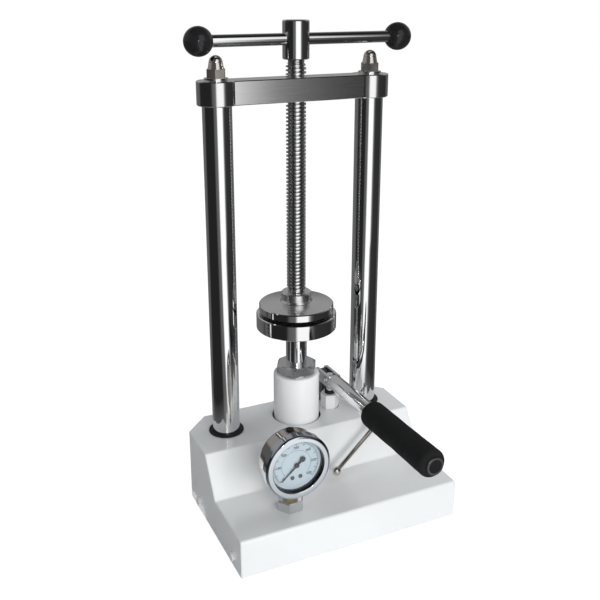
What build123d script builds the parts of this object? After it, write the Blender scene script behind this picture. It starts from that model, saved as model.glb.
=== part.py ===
"""Bench hydraulic press with a hand pump, a threaded spindle and a pressure gauge.

Millimetres, +Z up, -Y is the operator's side. The origin lies on the press axis, at bench level.
"""

from build123d import *
import math
import os

os.makedirs("parts", exist_ok=True)

# Fits: shafts in bores, the thread in its bore, fixed pieces in seats, loose holes, faces that turn,
# and how far a cut runs past the sheet that it goes through
running_fit = 0.05
thread_fit = 0.1
seat_fit = 0.05
loose_fit = 0.5
turning_gap = 0.3
cut_margin = 1.0

# Base casing, a folded sheet cover
base_width = 250.0
base_front = 142.0
step_back = 68.0
deck_front = 40.0
base_back = 40.0
step_height = 42.0
deck_height = 83.0
corner_cut = 26.0
sheet = 2.0
bend_radius = 3.0
corner_radius = 1.5
casing_lift = 0.5

# Bed plate and the screws that hold the casing and the blocks
bed_thickness = 20.0
bed_margin = 0.5
casing_screw_size = 5.0
casing_screw_head = 9.0
casing_screw_head_height = 2.8
casing_screw_slot = 0.9
casing_screw_length = 16.0
casing_screw_level = 11.0
casing_screw_rear = -15.0
casing_screw_front = -119.0
bed_screw_size = 8.0
bed_screw_head = 13.0
bed_screw_head_height = 8.0
bed_screw_grip = 14.0
bed_screw_recess = 9.0
bed_screw_circle = 36.0

# Columns
column_spacing = 172.0
column_diameter = 30.0
column_length = 423.0
foot_stud = 16.0
foot_nut_flats = 24.0
foot_nut_height = 10.0
foot_recess = 36.0
foot_web = 7.0
top_stud = 12.0
ring_diameter = 38.6
ring_waist = 34.0
ring_flange = 1.8

# Crosshead, washers and cap nuts
crosshead_height = 24.0
crosshead_depth = 28.0
crosshead_boss = 40.0
crosshead_edge = 0.8
washer_diameter = 24.0
washer_thickness = 2.5
cap_nut_flats = 17.5
cap_nut_hex = 8.5
cap_nut_dome = 16.2
cap_nut_crown = 13.6
cap_nut_height = 21.8
cap_nut_depth = 11.0
cap_nut_turn = 6.0

# Cylinder, gland and ram
barrel_diameter = 52.0
barrel_bore = 32.0
barrel_height = 117.5
barrel_floor = 24.0
barrel_edge = 3.0
barrel_clearance = 2.0
gland_flats = 42.0
gland_collar = 42.5
gland_collar_height = 2.5
gland_hex_height = 9.0
gland_spigot = 14.0
gland_crown = 39.0
crown_angle = 30.0
seal_width = 3.0
seal_height = 5.0
ram_diameter = 23.5
ram_exposed = 43.5
ram_tenon = 16.0
ram_tenon_height = 9.0
piston_height = 22.0

# Pressing discs
lower_disc = 89.0
lower_disc_height = 17.5
upper_disc = 82.5
upper_rim = 8.5
upper_cone = 3.0
upper_hub = 33.0
upper_hub_height = 10.5
upper_skirt = 1.5
upper_skirt_height = 2.0
upper_floor = 6.5
disc_edge = 0.9
disc_gap = 2.5

# Spindle, its hub and the sliding cross bar
thread_diameter = 21.0
thread_pitch = 4.0
thread_depth = 2.25
thread_crest = 1.46
thread_flank_angle = 15.0
neck_diameter = 18.5
neck_length = 4.0
tip_diameter = 14.0
tip_groove = 11.0
tip_groove_width = 4.6
retainer_size = 4.0
retainer_level = 6.0
hub_diameter = 27.5
hub_height = 38.5
hub_clearance = 17.5
hub_socket = 16.0
hub_socket_depth = 12.0
hub_edge = 1.0
hub_pin_size = 4.0
hub_pin_level = 6.0
bar_diameter = 12.0
bar_level = 20.0
bar_offset = 8.0
knob_spacing = 222.0
knob_diameter = 29.0
knob_flat = 13.0
knob_stud = 8.0
knob_stud_depth = 16.0

# Hydraulic block, oil tank and pipes inside the casing
block_gap = 2.0
block_right = 92.0
block_front = 45.0
block_back = 36.0
block_height = 47.0
block_screw_x = 60.0
block_screw_y = 24.0
nipple_diameter = 10.0
nipple_level = 36.0
nipple_depth = 6.0
nipple_seat = 8.0
nipple_reach = 18.0
port_diameter = 5.0
tank_gap = 4.0
tank_width = 38.0
tank_front = 32.0
tank_back = 36.0
tank_height = 46.0
tank_wall = 1.5
breather = 6.0
pipe_diameter = 6.0
pipe_bore = 4.0
pipe_bend = 8.0
pipe_level = 27.0
pipe_depth = 8.0
suction_y = 30.5
pressure_x = 36.0

# Hand pump
pump_x = 44.0
pump_y = 2.0
pump_flats = 18.5
pump_turn = 40.0
pump_stand = 17.0
pump_spigot = 14.0
pump_spigot_depth = 18.0
pump_hole = 22.0
pump_floor = 8.0
pump_valve_bore = 3.0
pump_seal_diameter = 12.0
pump_seal_height = 3.0
plunger_diameter = 8.0
plunger_clear = 12.0
plunger_head = 5.5
plunger_pin_size = 5.0
lever_level = 34.6
lever_arm = 19.0
lever_tilt = 1.5
post_width = 7.0
post_depth = 10.0
post_spigot = 6.0
post_spigot_depth = 12.0
post_slot_margin = 1.5
fulcrum_size = 6.0
pin_head = 8.5
pin_head_height = 1.5
fork_width = 15.0
fork_height = 14.0
fork_length = 31.0
fork_slot = 8.8
fork_slot_length = 27.0
fork_shank = 30.0
pin_slot_back = 0.5
pin_slot_front = 1.7
pin_slot_margin = 0.8
tube_diameter = 18.0
tube_wall = 2.0
tube_length = 207.0
grip_diameter = 29.0
grip_length = 119.0
grip_end = 3.0
grip_rounding = 5.0
plug_depth = 12.0

# Release valve on the sloped face
valve_x = 74.0
valve_drop = 10.8
valve_depth = 24.0
bonnet_diameter = 12.0
bonnet_stand = 3.0
valve_stem = 7.0
valve_head = 11.0
valve_head_height = 10.0
valve_head_edge = 1.0
rod_stand = 14.6
rod_diameter = 5.0
rod_angle = 212.0
rod_length = 74.0
rod_depth = 3.5
release_ball_diameter = 10.0

# Pressure gauge
gauge_x = -56.5
gauge_level = 57.0
gauge_front = 129.5
gauge_stem_depth = 22.5
case_diameter = 63.0
case_wall = 1.2
case_depth = 31.0
case_rounding = 4.0
bezel_wall = 3.6
bezel_lip = 3.2
bezel_lip_width = 4.0
bezel_depth = 10.2
bezel_rounding = 3.0
bezel_inner_rounding = 1.5
window_thickness = 2.0
gasket_height = 3.2
gasket_width = 4.3
dial_thickness = 0.8
pointer_length = 22.5
pointer_width = 2.4
pointer_tip = 0.7
pointer_thickness = 0.6
pointer_gap = 0.7
pointer_hub = 5.4
pointer_tail = 8.5
pointer_tail_dot = 6.0
pointer_angle = 222.0
arbor_diameter = 2.0
dial_screw_head = 4.2
dial_screw_head_height = 1.0
dial_screw_size = 2.0
dial_screw_length = 3.0
dial_screw_x = 4.4
dial_screw_drop = 13.8
movement_width = 22.0
movement_depth = 9.5
movement_rise = 8.0
movement_clearance = 0.6
tube_radius = 20.0
tube_section = 3.6
tube_sweep = 210.0
stem_flats = 12.0
stem_bore = 3.0
stem_thread = 10.0
stem_thread_depth = 10.0
stem_block_drop = 17.0
fitting_flats = 26.0
fitting_height = 11.0
fitting_turn = 4.0
fitting_thread = 20.0
fitting_chamfer = 1.2
lock_nut_flats = 27.0
lock_nut_height = 4.0
filler_diameter = 8.0
filler_depth = 2.4
filler_stand = 1.2

# Levels that follow from the sizes above
crosshead_bottom = bed_thickness + column_length
crosshead_top = crosshead_bottom + crosshead_height
nut_seat = crosshead_top + washer_thickness
barrel_top = bed_thickness + barrel_height
bore_floor = bed_thickness + barrel_floor
gland_bottom = barrel_top - gland_spigot
gland_top = barrel_top + gland_collar_height + gland_hex_height
lower_bottom = gland_top + ram_exposed
lower_top = lower_bottom + lower_disc_height
upper_bottom = lower_top + disc_gap
upper_rim_top = upper_bottom + upper_rim
upper_cone_top = upper_rim_top + upper_cone
upper_top = upper_cone_top + upper_hub_height
thread_start = upper_top + neck_length
hub_bottom = crosshead_top + hub_clearance
bar_height = hub_bottom + bar_level
block_top = bed_thickness + block_height
pump_top = deck_height + pump_stand
pivot_height = deck_height + lever_level
fulcrum_y = pump_y + lever_arm
deck_underside = deck_height - sheet
step_underside = step_height - sheet

# Places that follow from the sizes above
column_places = {"left": -column_spacing / 2, "right": column_spacing / 2}
column_points = [(x, 0) for x in column_places.values()]
bed_half_width = base_width / 2 - sheet - bed_margin
bed_front_edge = -base_front + sheet + bed_margin
bed_back_edge = base_back - sheet - bed_margin
block_left = barrel_diameter / 2 + block_gap
block_waist = (column_spacing - column_diameter) / 2 - block_gap
block_screw_points = [(block_screw_x, block_screw_y), (block_screw_x, -block_screw_y)]
casing_screw_places = [
    (side, y) for side in (-1, 1) for y in (casing_screw_front, casing_screw_rear)
]

# The sloped face: a plane on its outer surface, with its normal outwards and its Y axis up the slope
slope_run = step_back - deck_front
slope_rise = deck_height - step_height
slope_length = math.hypot(slope_run, slope_rise)
slope_normal = (0, -slope_rise / slope_length, slope_run / slope_length)
valve_point = (
    valve_x,
    -deck_front - valve_drop * slope_run / slope_length,
    deck_height - valve_drop * slope_rise / slope_length,
)
valve_plane = Plane(origin=valve_point, x_dir=(1, 0, 0), z_dir=slope_normal)

# The gauge: planes that face the operator, and the plan position of its stem
gauge_center = step_height + gauge_level
gauge_plane = Plane(origin=(gauge_x, -gauge_front, gauge_center), x_dir=(1, 0, 0), z_dir=(0, -1, 0))
stem_y = -gauge_front + gauge_stem_depth
dial_depth = bezel_lip + window_thickness + gasket_height
seat_radius = case_diameter / 2
fitting_top = step_height + fitting_height

# The lever: its side plane has its origin on the fulcrum and its X axis along the lever, to the rear,
# and the handle plane lies across the tube's rear end
tilt = math.radians(lever_tilt)
fulcrum_point = (pump_x, fulcrum_y, pivot_height)
post_side = Plane(origin=fulcrum_point, x_dir=(0, 1, 0), z_dir=(1, 0, 0))
lever_side = Plane(origin=fulcrum_point, x_dir=(0, math.cos(tilt), -math.sin(tilt)), z_dir=(1, 0, 0))
tube_start = lever_side.origin - lever_side.x_dir * fork_length
handle_plane = Plane(origin=tube_start, x_dir=(1, 0, 0), z_dir=-lever_side.x_dir)
grip_front = tube_length - grip_end
pin_place = -lever_arm / math.cos(tilt)
pin_height = pivot_height + lever_arm * math.tan(tilt)

# Hexagons: the share of their width over corners in their width over flats
hex_share = 1 / math.cos(math.pi / 6)

# Bed plate: carries the columns, the cylinder and the block, and takes the casing's screws
with BuildPart() as bed_plate:
    with BuildSketch():
        with BuildLine():
            Polyline(
                (-bed_half_width, bed_front_edge),
                (bed_half_width, bed_front_edge),
                (bed_half_width, bed_back_edge - corner_cut),
                (bed_half_width - corner_cut, bed_back_edge),
                (corner_cut - bed_half_width, bed_back_edge),
                (-bed_half_width, bed_back_edge - corner_cut),
                close=True,
            )
        make_face()
    extrude(amount=bed_thickness)
    with BuildSketch():
        with Locations(*column_points):
            Circle(foot_recess / 2)
    extrude(amount=bed_thickness - foot_web, mode=Mode.SUBTRACT)
    with BuildSketch():
        with Locations(*column_points):
            Circle(foot_stud / 2 + seat_fit)
    extrude(amount=bed_thickness, mode=Mode.SUBTRACT)
    with BuildSketch():
        with PolarLocations(bed_screw_circle / 2, 4, start_angle=45):
            Circle(bed_screw_head / 2 + loose_fit)
        with Locations(*block_screw_points):
            Circle(bed_screw_head / 2 + loose_fit)
    extrude(amount=bed_screw_recess, mode=Mode.SUBTRACT)
    with BuildSketch():
        with PolarLocations(bed_screw_circle / 2, 4, start_angle=45):
            Circle(bed_screw_size / 2 + seat_fit)
        with Locations(*block_screw_points):
            Circle(bed_screw_size / 2 + seat_fit)
    extrude(amount=bed_thickness, mode=Mode.SUBTRACT)
    for side, y in casing_screw_places:
        screw_face = Plane(origin=(side * base_width / 2, y, casing_screw_level), z_dir=(side, 0, 0))
        with BuildSketch(screw_face):
            Circle(casing_screw_size / 2 + seat_fit)
        extrude(amount=-casing_screw_length, mode=Mode.SUBTRACT)
bed_plate.part.label = "bed_plate"
export_step(bed_plate.part, "parts/bed_plate.step")

# Base casing: folded profile, back corners cut off, hollow and open below
with BuildPart() as base_casing:
    with BuildSketch(Plane.YZ):
        with BuildLine():
            Polyline(
                (-base_front, casing_lift),
                (-base_front, step_height),
                (-step_back, step_height),
                (-deck_front, deck_height),
                (base_back, deck_height),
                (base_back, casing_lift),
                close=True,
            )
        folded = make_face()
        fillet(folded.vertices().filter_by(lambda v: v.Y > casing_lift and v.X < base_back), bend_radius)
    extrude(amount=base_width / 2, both=True)
    with BuildSketch():
        with BuildLine():
            Polyline(
                (-base_width / 2, -base_front),
                (base_width / 2, -base_front),
                (base_width / 2, base_back - corner_cut),
                (base_width / 2 - corner_cut, base_back),
                (corner_cut - base_width / 2, base_back),
                (-base_width / 2, base_back - corner_cut),
                close=True,
            )
        make_face()
    extrude(amount=deck_height, mode=Mode.INTERSECT)
    rims = base_casing.edges().filter_by(lambda e: e.center().Z > casing_lift + sheet)
    folds = rims.filter_by(Axis.X).sort_by(Axis.Y)[:-1]
    fillet(rims - folds, radius=corner_radius)
    offset(amount=-sheet, openings=base_casing.faces().sort_by(Axis.Z)[0], kind=Kind.INTERSECTION)
    with BuildSketch(Plane.XY.offset(deck_height)):
        with Locations(*column_points):
            Circle(ring_waist / 2)
        Circle(barrel_diameter / 2 + barrel_clearance)
        with Locations((pump_x, pump_y)):
            Circle(pump_hole / 2)
        with Locations((pump_x, fulcrum_y)):
            Rectangle(post_width + 2 * post_slot_margin, post_depth + 2 * post_slot_margin)
    extrude(amount=-sheet - cut_margin, mode=Mode.SUBTRACT)
    with BuildSketch(Plane.XY.offset(step_height)):
        with Locations((gauge_x, stem_y)):
            Circle(fitting_thread / 2 + seat_fit)
    extrude(amount=-sheet - cut_margin, mode=Mode.SUBTRACT)
    with BuildSketch(valve_plane):
        Circle(bonnet_diameter / 2 + loose_fit)
    extrude(amount=-sheet - cut_margin, mode=Mode.SUBTRACT)
    for side, y in casing_screw_places:
        screw_face = Plane(origin=(side * base_width / 2, y, casing_screw_level), z_dir=(side, 0, 0))
        with BuildSketch(screw_face):
            Circle(casing_screw_size / 2 + seat_fit)
        extrude(amount=-sheet - cut_margin, mode=Mode.SUBTRACT)
base_casing.part.label = "base_casing"
export_step(base_casing.part, "parts/base_casing.step")

# Casing screws: pan heads on the sides, shanks in the bed plate's edges
with BuildPart() as casing_screws:
    for side, y in casing_screw_places:
        screw_face = Plane(origin=(side * base_width / 2, y, casing_screw_level), z_dir=(side, 0, 0))
        with BuildSketch(screw_face):
            Circle(casing_screw_head / 2)
        extrude(amount=casing_screw_head_height)
        with BuildSketch(screw_face):
            Circle(casing_screw_size / 2)
        extrude(amount=-casing_screw_length + loose_fit)
        with BuildSketch(screw_face.offset(casing_screw_head_height)):
            Rectangle(casing_screw_head, casing_screw_slot)
        extrude(amount=-casing_screw_slot, mode=Mode.SUBTRACT)
casing_screws.part.label = "casing_screws"
export_step(casing_screws.part, "parts/casing_screws.step")

# Bed screws: four up into the cylinder's foot and two into the block
with BuildPart() as bed_screws:
    with BuildSketch(Plane.XY.offset(bed_screw_recess)):
        with PolarLocations(bed_screw_circle / 2, 4, start_angle=45):
            Circle(bed_screw_head / 2)
        with Locations(*block_screw_points):
            Circle(bed_screw_head / 2)
    extrude(amount=-bed_screw_head_height)
    with BuildSketch(Plane.XY.offset(bed_screw_recess)):
        with PolarLocations(bed_screw_circle / 2, 4, start_angle=45):
            Circle(bed_screw_size / 2)
        with Locations(*block_screw_points):
            Circle(bed_screw_size / 2)
    extrude(amount=bed_thickness - bed_screw_recess + bed_screw_grip - loose_fit)
bed_screws.part.label = "bed_screws"
export_step(bed_screws.part, "parts/bed_screws.step")

# Columns: ground bars with a stud at each end, and the rubber rings where they pass the deck
for name, x in column_places.items():
    with BuildPart() as column:
        with BuildSketch(Plane.XY.offset(bed_thickness)):
            with Locations((x, 0)):
                Circle(column_diameter / 2)
        extrude(amount=column_length)
        with BuildSketch(Plane.XY.offset(bed_thickness)):
            with Locations((x, 0)):
                Circle(foot_stud / 2)
        extrude(amount=-foot_web - foot_nut_height)
        with BuildSketch(Plane.XY.offset(crosshead_bottom)):
            with Locations((x, 0)):
                Circle(top_stud / 2)
        extrude(amount=crosshead_height + washer_thickness + cap_nut_depth - loose_fit)
    column.part.label = f"column_{name}"
    export_step(column.part, f"parts/column_{name}.step")

    with BuildPart() as column_ring:
        with BuildSketch(Plane.XY.offset(deck_height)):
            with Locations((x, 0)):
                Circle(ring_diameter / 2)
        extrude(amount=ring_flange)
        fillet(column_ring.edges().group_by(Axis.Z)[-1], radius=ring_flange / 2)
        with BuildSketch(Plane.XY.offset(deck_underside)):
            with Locations((x, 0)):
                Circle(ring_diameter / 2)
        extrude(amount=-ring_flange)
        with BuildSketch(Plane.XY.offset(deck_underside)):
            with Locations((x, 0)):
                Circle(ring_waist / 2 - seat_fit)
        extrude(amount=sheet)
        with BuildSketch(Plane.XY.offset(deck_underside - ring_flange)):
            with Locations((x, 0)):
                Circle(column_diameter / 2 + seat_fit)
        extrude(amount=sheet + 2 * ring_flange, mode=Mode.SUBTRACT)
    column_ring.part.label = f"column_ring_{name}"
    export_step(column_ring.part, f"parts/column_ring_{name}.step")

# Column foot nuts, in the recesses under the bed plate
with BuildPart() as column_foot_nuts:
    with BuildSketch(Plane.XY.offset(bed_thickness - foot_web)):
        with Locations(*column_points):
            RegularPolygon(foot_nut_flats / 2, 6, major_radius=False)
            Circle(foot_stud / 2 + seat_fit, mode=Mode.SUBTRACT)
    extrude(amount=-foot_nut_height)
column_foot_nuts.part.label = "column_foot_nuts"
export_step(column_foot_nuts.part, "parts/column_foot_nuts.step")

# Crosshead: a bar with round ends, bored for the columns' studs and for the spindle
with BuildPart() as crosshead:
    with BuildSketch(Plane.XY.offset(crosshead_bottom)):
        Rectangle(column_spacing, crosshead_depth)
        with Locations(*column_points):
            Circle(crosshead_boss / 2)
    extrude(amount=crosshead_height)
    chamfer(
        crosshead.edges().group_by(Axis.Z)[0] + crosshead.edges().group_by(Axis.Z)[-1],
        length=crosshead_edge,
    )
    with BuildSketch(Plane.XY.offset(crosshead_bottom)):
        Circle(thread_diameter / 2 + thread_fit)
        with Locations(*column_points):
            Circle(top_stud / 2 + seat_fit)
    extrude(amount=crosshead_height, mode=Mode.SUBTRACT)
crosshead.part.label = "crosshead"
export_step(crosshead.part, "parts/crosshead.step")

# Washers under the cap nuts
with BuildPart() as column_washers:
    with BuildSketch(Plane.XY.offset(crosshead_top)):
        with Locations(*column_points):
            Circle(washer_diameter / 2)
            Circle(top_stud / 2 + seat_fit, mode=Mode.SUBTRACT)
    extrude(amount=washer_thickness)
column_washers.part.label = "column_washers"
export_step(column_washers.part, "parts/column_washers.step")

# Cap nuts: a low hexagon under a tall dome that tapers, bored blind
dome_foot = nut_seat + cap_nut_hex
dome_shoulder = nut_seat + cap_nut_height - cap_nut_crown / 2
with BuildPart() as cap_nut:
    with BuildSketch(Plane.XZ):
        with BuildLine():
            Polyline(
                (0, nut_seat + cap_nut_height),
                (0, nut_seat),
                (cap_nut_dome / 2, nut_seat),
                (cap_nut_dome / 2, dome_foot),
                (cap_nut_crown / 2, dome_shoulder),
            )
            CenterArc((0, dome_shoulder), cap_nut_crown / 2, 0, 90)
        make_face()
    revolve(axis=Axis.Z)
    with BuildSketch(Plane.XY.offset(nut_seat)):
        RegularPolygon(cap_nut_flats / 2, 6, major_radius=False, rotation=cap_nut_turn)
    extrude(amount=cap_nut_hex)
    with BuildSketch(Plane.XY.offset(nut_seat)):
        Circle(top_stud / 2 + seat_fit)
    extrude(amount=cap_nut_depth, mode=Mode.SUBTRACT)
with BuildPart() as column_cap_nuts:
    with Locations(*column_points):
        add(cap_nut.part)
column_cap_nuts.part.label = "column_cap_nuts"
export_step(column_cap_nuts.part, "parts/column_cap_nuts.step")

# Cylinder barrel: bored from above, with the oil port in its foot
with BuildPart() as cylinder_barrel:
    with BuildSketch(Plane.XY.offset(bed_thickness)):
        Circle(barrel_diameter / 2)
    extrude(amount=barrel_height)
    fillet(cylinder_barrel.edges().group_by(Axis.Z)[-1], radius=barrel_edge)
    with BuildSketch(Plane.XY.offset(bore_floor)):
        Circle(barrel_bore / 2)
    extrude(amount=barrel_height - barrel_floor, mode=Mode.SUBTRACT)
    with BuildSketch(Plane.YZ.offset(barrel_diameter / 2 - nipple_reach)):
        with Locations((0, nipple_level)):
            Circle(nipple_diameter / 2 + seat_fit)
    extrude(amount=nipple_reach, mode=Mode.SUBTRACT)
    with BuildSketch(Plane.XY.offset(nipple_level)):
        with Locations((barrel_diameter / 2 - nipple_reach + port_diameter, 0)):
            Circle(port_diameter / 2)
    extrude(amount=bore_floor - nipple_level, mode=Mode.SUBTRACT)
    with BuildSketch(Plane.XY.offset(bed_thickness)):
        with PolarLocations(bed_screw_circle / 2, 4, start_angle=45):
            Circle(bed_screw_size / 2 + seat_fit)
    extrude(amount=bed_screw_grip, mode=Mode.SUBTRACT)
cylinder_barrel.part.label = "cylinder_barrel"
export_step(cylinder_barrel.part, "parts/cylinder_barrel.step")

# Gland nut: a hexagon with a round collar, a turned crown and a spigot that screws into the bore
gland_reach = gland_flats / 2 * hex_share + loose_fit
crown_slope = math.tan(math.radians(crown_angle))
with BuildPart() as gland_nut:
    with BuildSketch(Plane.XY.offset(barrel_top + gland_collar_height)):
        RegularPolygon(gland_flats / 2, 6, major_radius=False)
    extrude(amount=gland_hex_height)
    with BuildSketch(Plane.XZ):
        with BuildLine():
            Polyline(
                (0, barrel_top),
                (gland_reach, barrel_top),
                (gland_reach, gland_top - (gland_reach - gland_crown / 2) * crown_slope),
                (gland_crown / 2, gland_top),
                (0, gland_top),
                close=True,
            )
        make_face()
    revolve(axis=Axis.Z, mode=Mode.INTERSECT)
    with BuildSketch(Plane.XY.offset(barrel_top)):
        Circle(gland_collar / 2)
    extrude(amount=gland_collar_height)
    with BuildSketch(Plane.XY.offset(barrel_top)):
        Circle(barrel_bore / 2 - seat_fit)
    extrude(amount=-gland_spigot)
    with BuildSketch(Plane.XY.offset(gland_bottom)):
        Circle(ram_diameter / 2 + running_fit)
    extrude(amount=gland_top - gland_bottom, mode=Mode.SUBTRACT)
    with BuildSketch(Plane.XY.offset(barrel_top - seal_height)):
        Circle(ram_diameter / 2 + seal_width)
    extrude(amount=seal_height, mode=Mode.SUBTRACT)
gland_nut.part.label = "gland_nut"
export_step(gland_nut.part, "parts/gland_nut.step")

# Rod seal, in the gland's groove
with BuildPart() as rod_seal:
    with BuildSketch(Plane.XY.offset(barrel_top - seal_height)):
        Circle(ram_diameter / 2 + seal_width - seat_fit)
        Circle(ram_diameter / 2 + running_fit, mode=Mode.SUBTRACT)
    extrude(amount=seal_height)
rod_seal.part.label = "rod_seal"
export_step(rod_seal.part, "parts/rod_seal.step")

# Ram: a chrome rod with a tenon at each end, for the piston and for the lower disc
piston_top = gland_bottom - turning_gap
with BuildPart() as ram:
    with BuildSketch(Plane.XY.offset(piston_top)):
        Circle(ram_diameter / 2)
    extrude(amount=lower_bottom - piston_top)
    with BuildSketch(Plane.XY.offset(piston_top)):
        Circle(ram_tenon / 2)
    extrude(amount=-piston_height)
    with BuildSketch(Plane.XY.offset(lower_bottom)):
        Circle(ram_tenon / 2)
    extrude(amount=ram_tenon_height)
ram.part.label = "ram"
export_step(ram.part, "parts/ram.step")

# Piston, with a groove for its seal
seal_level = piston_top - piston_height / 2 - seal_height / 2
with BuildPart() as piston:
    with BuildSketch(Plane.XY.offset(piston_top)):
        Circle(barrel_bore / 2 - running_fit)
        Circle(ram_tenon / 2 + seat_fit, mode=Mode.SUBTRACT)
    extrude(amount=-piston_height)
    with BuildSketch(Plane.XY.offset(seal_level)):
        Circle(barrel_bore / 2)
        Circle(barrel_bore / 2 - seal_width, mode=Mode.SUBTRACT)
    extrude(amount=seal_height, mode=Mode.SUBTRACT)
piston.part.label = "piston"
export_step(piston.part, "parts/piston.step")

# Piston seal
with BuildPart() as piston_seal:
    with BuildSketch(Plane.XY.offset(seal_level)):
        Circle(barrel_bore / 2 - running_fit)
        Circle(barrel_bore / 2 - seal_width + seat_fit, mode=Mode.SUBTRACT)
    extrude(amount=seal_height)
piston_seal.part.label = "piston_seal"
export_step(piston_seal.part, "parts/piston_seal.step")

# Lower pressing disc, pressed on the ram's tenon
with BuildPart() as lower_platen:
    with BuildSketch(Plane.XY.offset(lower_bottom)):
        Circle(lower_disc / 2)
    extrude(amount=lower_disc_height)
    chamfer(
        lower_platen.edges().group_by(Axis.Z)[0] + lower_platen.edges().group_by(Axis.Z)[-1],
        length=disc_edge,
    )
    with BuildSketch(Plane.XY.offset(lower_bottom)):
        Circle(ram_tenon / 2 + seat_fit)
    extrude(amount=ram_tenon_height, mode=Mode.SUBTRACT)
lower_platen.part.label = "lower_platen"
export_step(lower_platen.part, "parts/lower_platen.step")

# Upper pressing disc: a plain rim, a shallow cone, and a hub on a skirt, bored blind for the spindle's tip
retainer_height = upper_cone_top + retainer_level
with BuildPart() as upper_platen:
    with BuildSketch(Plane.XZ):
        with BuildLine():
            Polyline(
                (0, upper_bottom),
                (upper_disc / 2 - disc_edge, upper_bottom),
                (upper_disc / 2, upper_bottom + disc_edge),
                (upper_disc / 2, upper_rim_top - disc_edge),
                (upper_disc / 2 - disc_edge, upper_rim_top),
                (upper_hub / 2 + upper_skirt, upper_cone_top),
                (upper_hub / 2, upper_cone_top + upper_skirt_height),
                (upper_hub / 2, upper_top - disc_edge),
                (upper_hub / 2 - disc_edge, upper_top),
                (0, upper_top),
                close=True,
            )
        make_face()
    revolve(axis=Axis.Z)
    with BuildSketch(Plane.XY.offset(upper_bottom + upper_floor)):
        Circle(tip_diameter / 2 + running_fit)
    extrude(amount=upper_top - upper_bottom - upper_floor, mode=Mode.SUBTRACT)
    with BuildSketch(Plane.YZ):
        with Locations((0, retainer_height)):
            Circle(retainer_size / 2 + seat_fit)
    extrude(amount=-upper_hub / 2 - upper_skirt, mode=Mode.SUBTRACT)
upper_platen.part.label = "upper_platen"
export_step(upper_platen.part, "parts/upper_platen.step")

# Retaining screw: its end runs in the groove of the spindle's tip
with BuildPart() as platen_retainer:
    with BuildSketch(Plane.YZ.offset(-tip_groove / 2 - turning_gap)):
        with Locations((0, retainer_height)):
            Circle(retainer_size / 2)
    extrude(amount=-(upper_hub - tip_groove) / 2 + 2 * turning_gap)
platen_retainer.part.label = "platen_retainer"
export_step(platen_retainer.part, "parts/platen_retainer.step")

# Thread profile: trapezoidal ridges between root and crest, one per pitch, as plain rings
thread_root = thread_diameter / 2 - thread_depth
thread_flank = thread_depth * math.tan(math.radians(thread_flank_angle))
thread_turns = math.floor((hub_bottom - thread_start) / thread_pitch)
thread_points = [(0, thread_start), (thread_root, thread_start)]
for turn in range(thread_turns):
    ridge = thread_start + (turn + 0.5) * thread_pitch
    thread_points.append((thread_root, ridge - thread_crest / 2 - thread_flank))
    thread_points.append((thread_diameter / 2, ridge - thread_crest / 2))
    thread_points.append((thread_diameter / 2, ridge + thread_crest / 2))
    thread_points.append((thread_root, ridge + thread_crest / 2 + thread_flank))
thread_points.append((thread_root, hub_bottom))
thread_points.append((0, hub_bottom))

# Spindle: the thread, a plain neck and tip below it and a spigot for the hub above it
with BuildPart() as spindle:
    with BuildSketch(Plane.XZ):
        with BuildLine():
            Polyline(*thread_points, close=True)
        make_face()
    revolve(axis=Axis.Z)
    with BuildSketch(Plane.XY.offset(upper_top + turning_gap)):
        Circle(neck_diameter / 2)
    extrude(amount=neck_length - turning_gap)
    with BuildSketch(Plane.XY.offset(upper_bottom + upper_floor + turning_gap)):
        Circle(tip_diameter / 2)
    extrude(amount=upper_top - upper_bottom - upper_floor)
    with BuildSketch(Plane.XY.offset(retainer_height - tip_groove_width / 2)):
        Circle(tip_diameter / 2)
        Circle(tip_groove / 2, mode=Mode.SUBTRACT)
    extrude(amount=tip_groove_width, mode=Mode.SUBTRACT)
    with BuildSketch(Plane.XY.offset(hub_bottom)):
        Circle(hub_socket / 2)
    extrude(amount=hub_socket_depth)
    with BuildSketch(Plane.XZ):
        with Locations((0, hub_bottom + hub_pin_level)):
            Circle(hub_pin_size / 2 + seat_fit)
    extrude(amount=-hub_diameter, mode=Mode.SUBTRACT)
spindle.part.label = "spindle"
export_step(spindle.part, "parts/spindle.step")

# Spindle hub: a plain round boss, cross-drilled for the bar and for its pin
with BuildPart() as spindle_hub:
    with BuildSketch(Plane.XY.offset(hub_bottom)):
        Circle(hub_diameter / 2)
    extrude(amount=hub_height)
    chamfer(
        spindle_hub.edges().group_by(Axis.Z)[0] + spindle_hub.edges().group_by(Axis.Z)[-1],
        length=hub_edge,
    )
    with BuildSketch(Plane.XY.offset(hub_bottom)):
        Circle(hub_socket / 2 + seat_fit)
    extrude(amount=hub_socket_depth, mode=Mode.SUBTRACT)
    with BuildSketch(Plane.YZ):
        with Locations((0, bar_height)):
            Circle(bar_diameter / 2 + running_fit)
    extrude(amount=hub_diameter, both=True, mode=Mode.SUBTRACT)
    with BuildSketch(Plane.XZ):
        with Locations((0, hub_bottom + hub_pin_level)):
            Circle(hub_pin_size / 2 + seat_fit)
    extrude(amount=-hub_diameter, mode=Mode.SUBTRACT)
spindle_hub.part.label = "spindle_hub"
export_step(spindle_hub.part, "parts/spindle_hub.step")

# Hub pin, driven in from the rear and flush with the hub
with BuildPart() as hub_pin:
    with BuildSketch(Plane.XZ):
        with Locations((0, hub_bottom + hub_pin_level)):
            Circle(hub_pin_size / 2)
    extrude(amount=-hub_diameter / 2 + seat_fit)
hub_pin.part.label = "hub_pin"
export_step(hub_pin.part, "parts/hub_pin.step")

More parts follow.
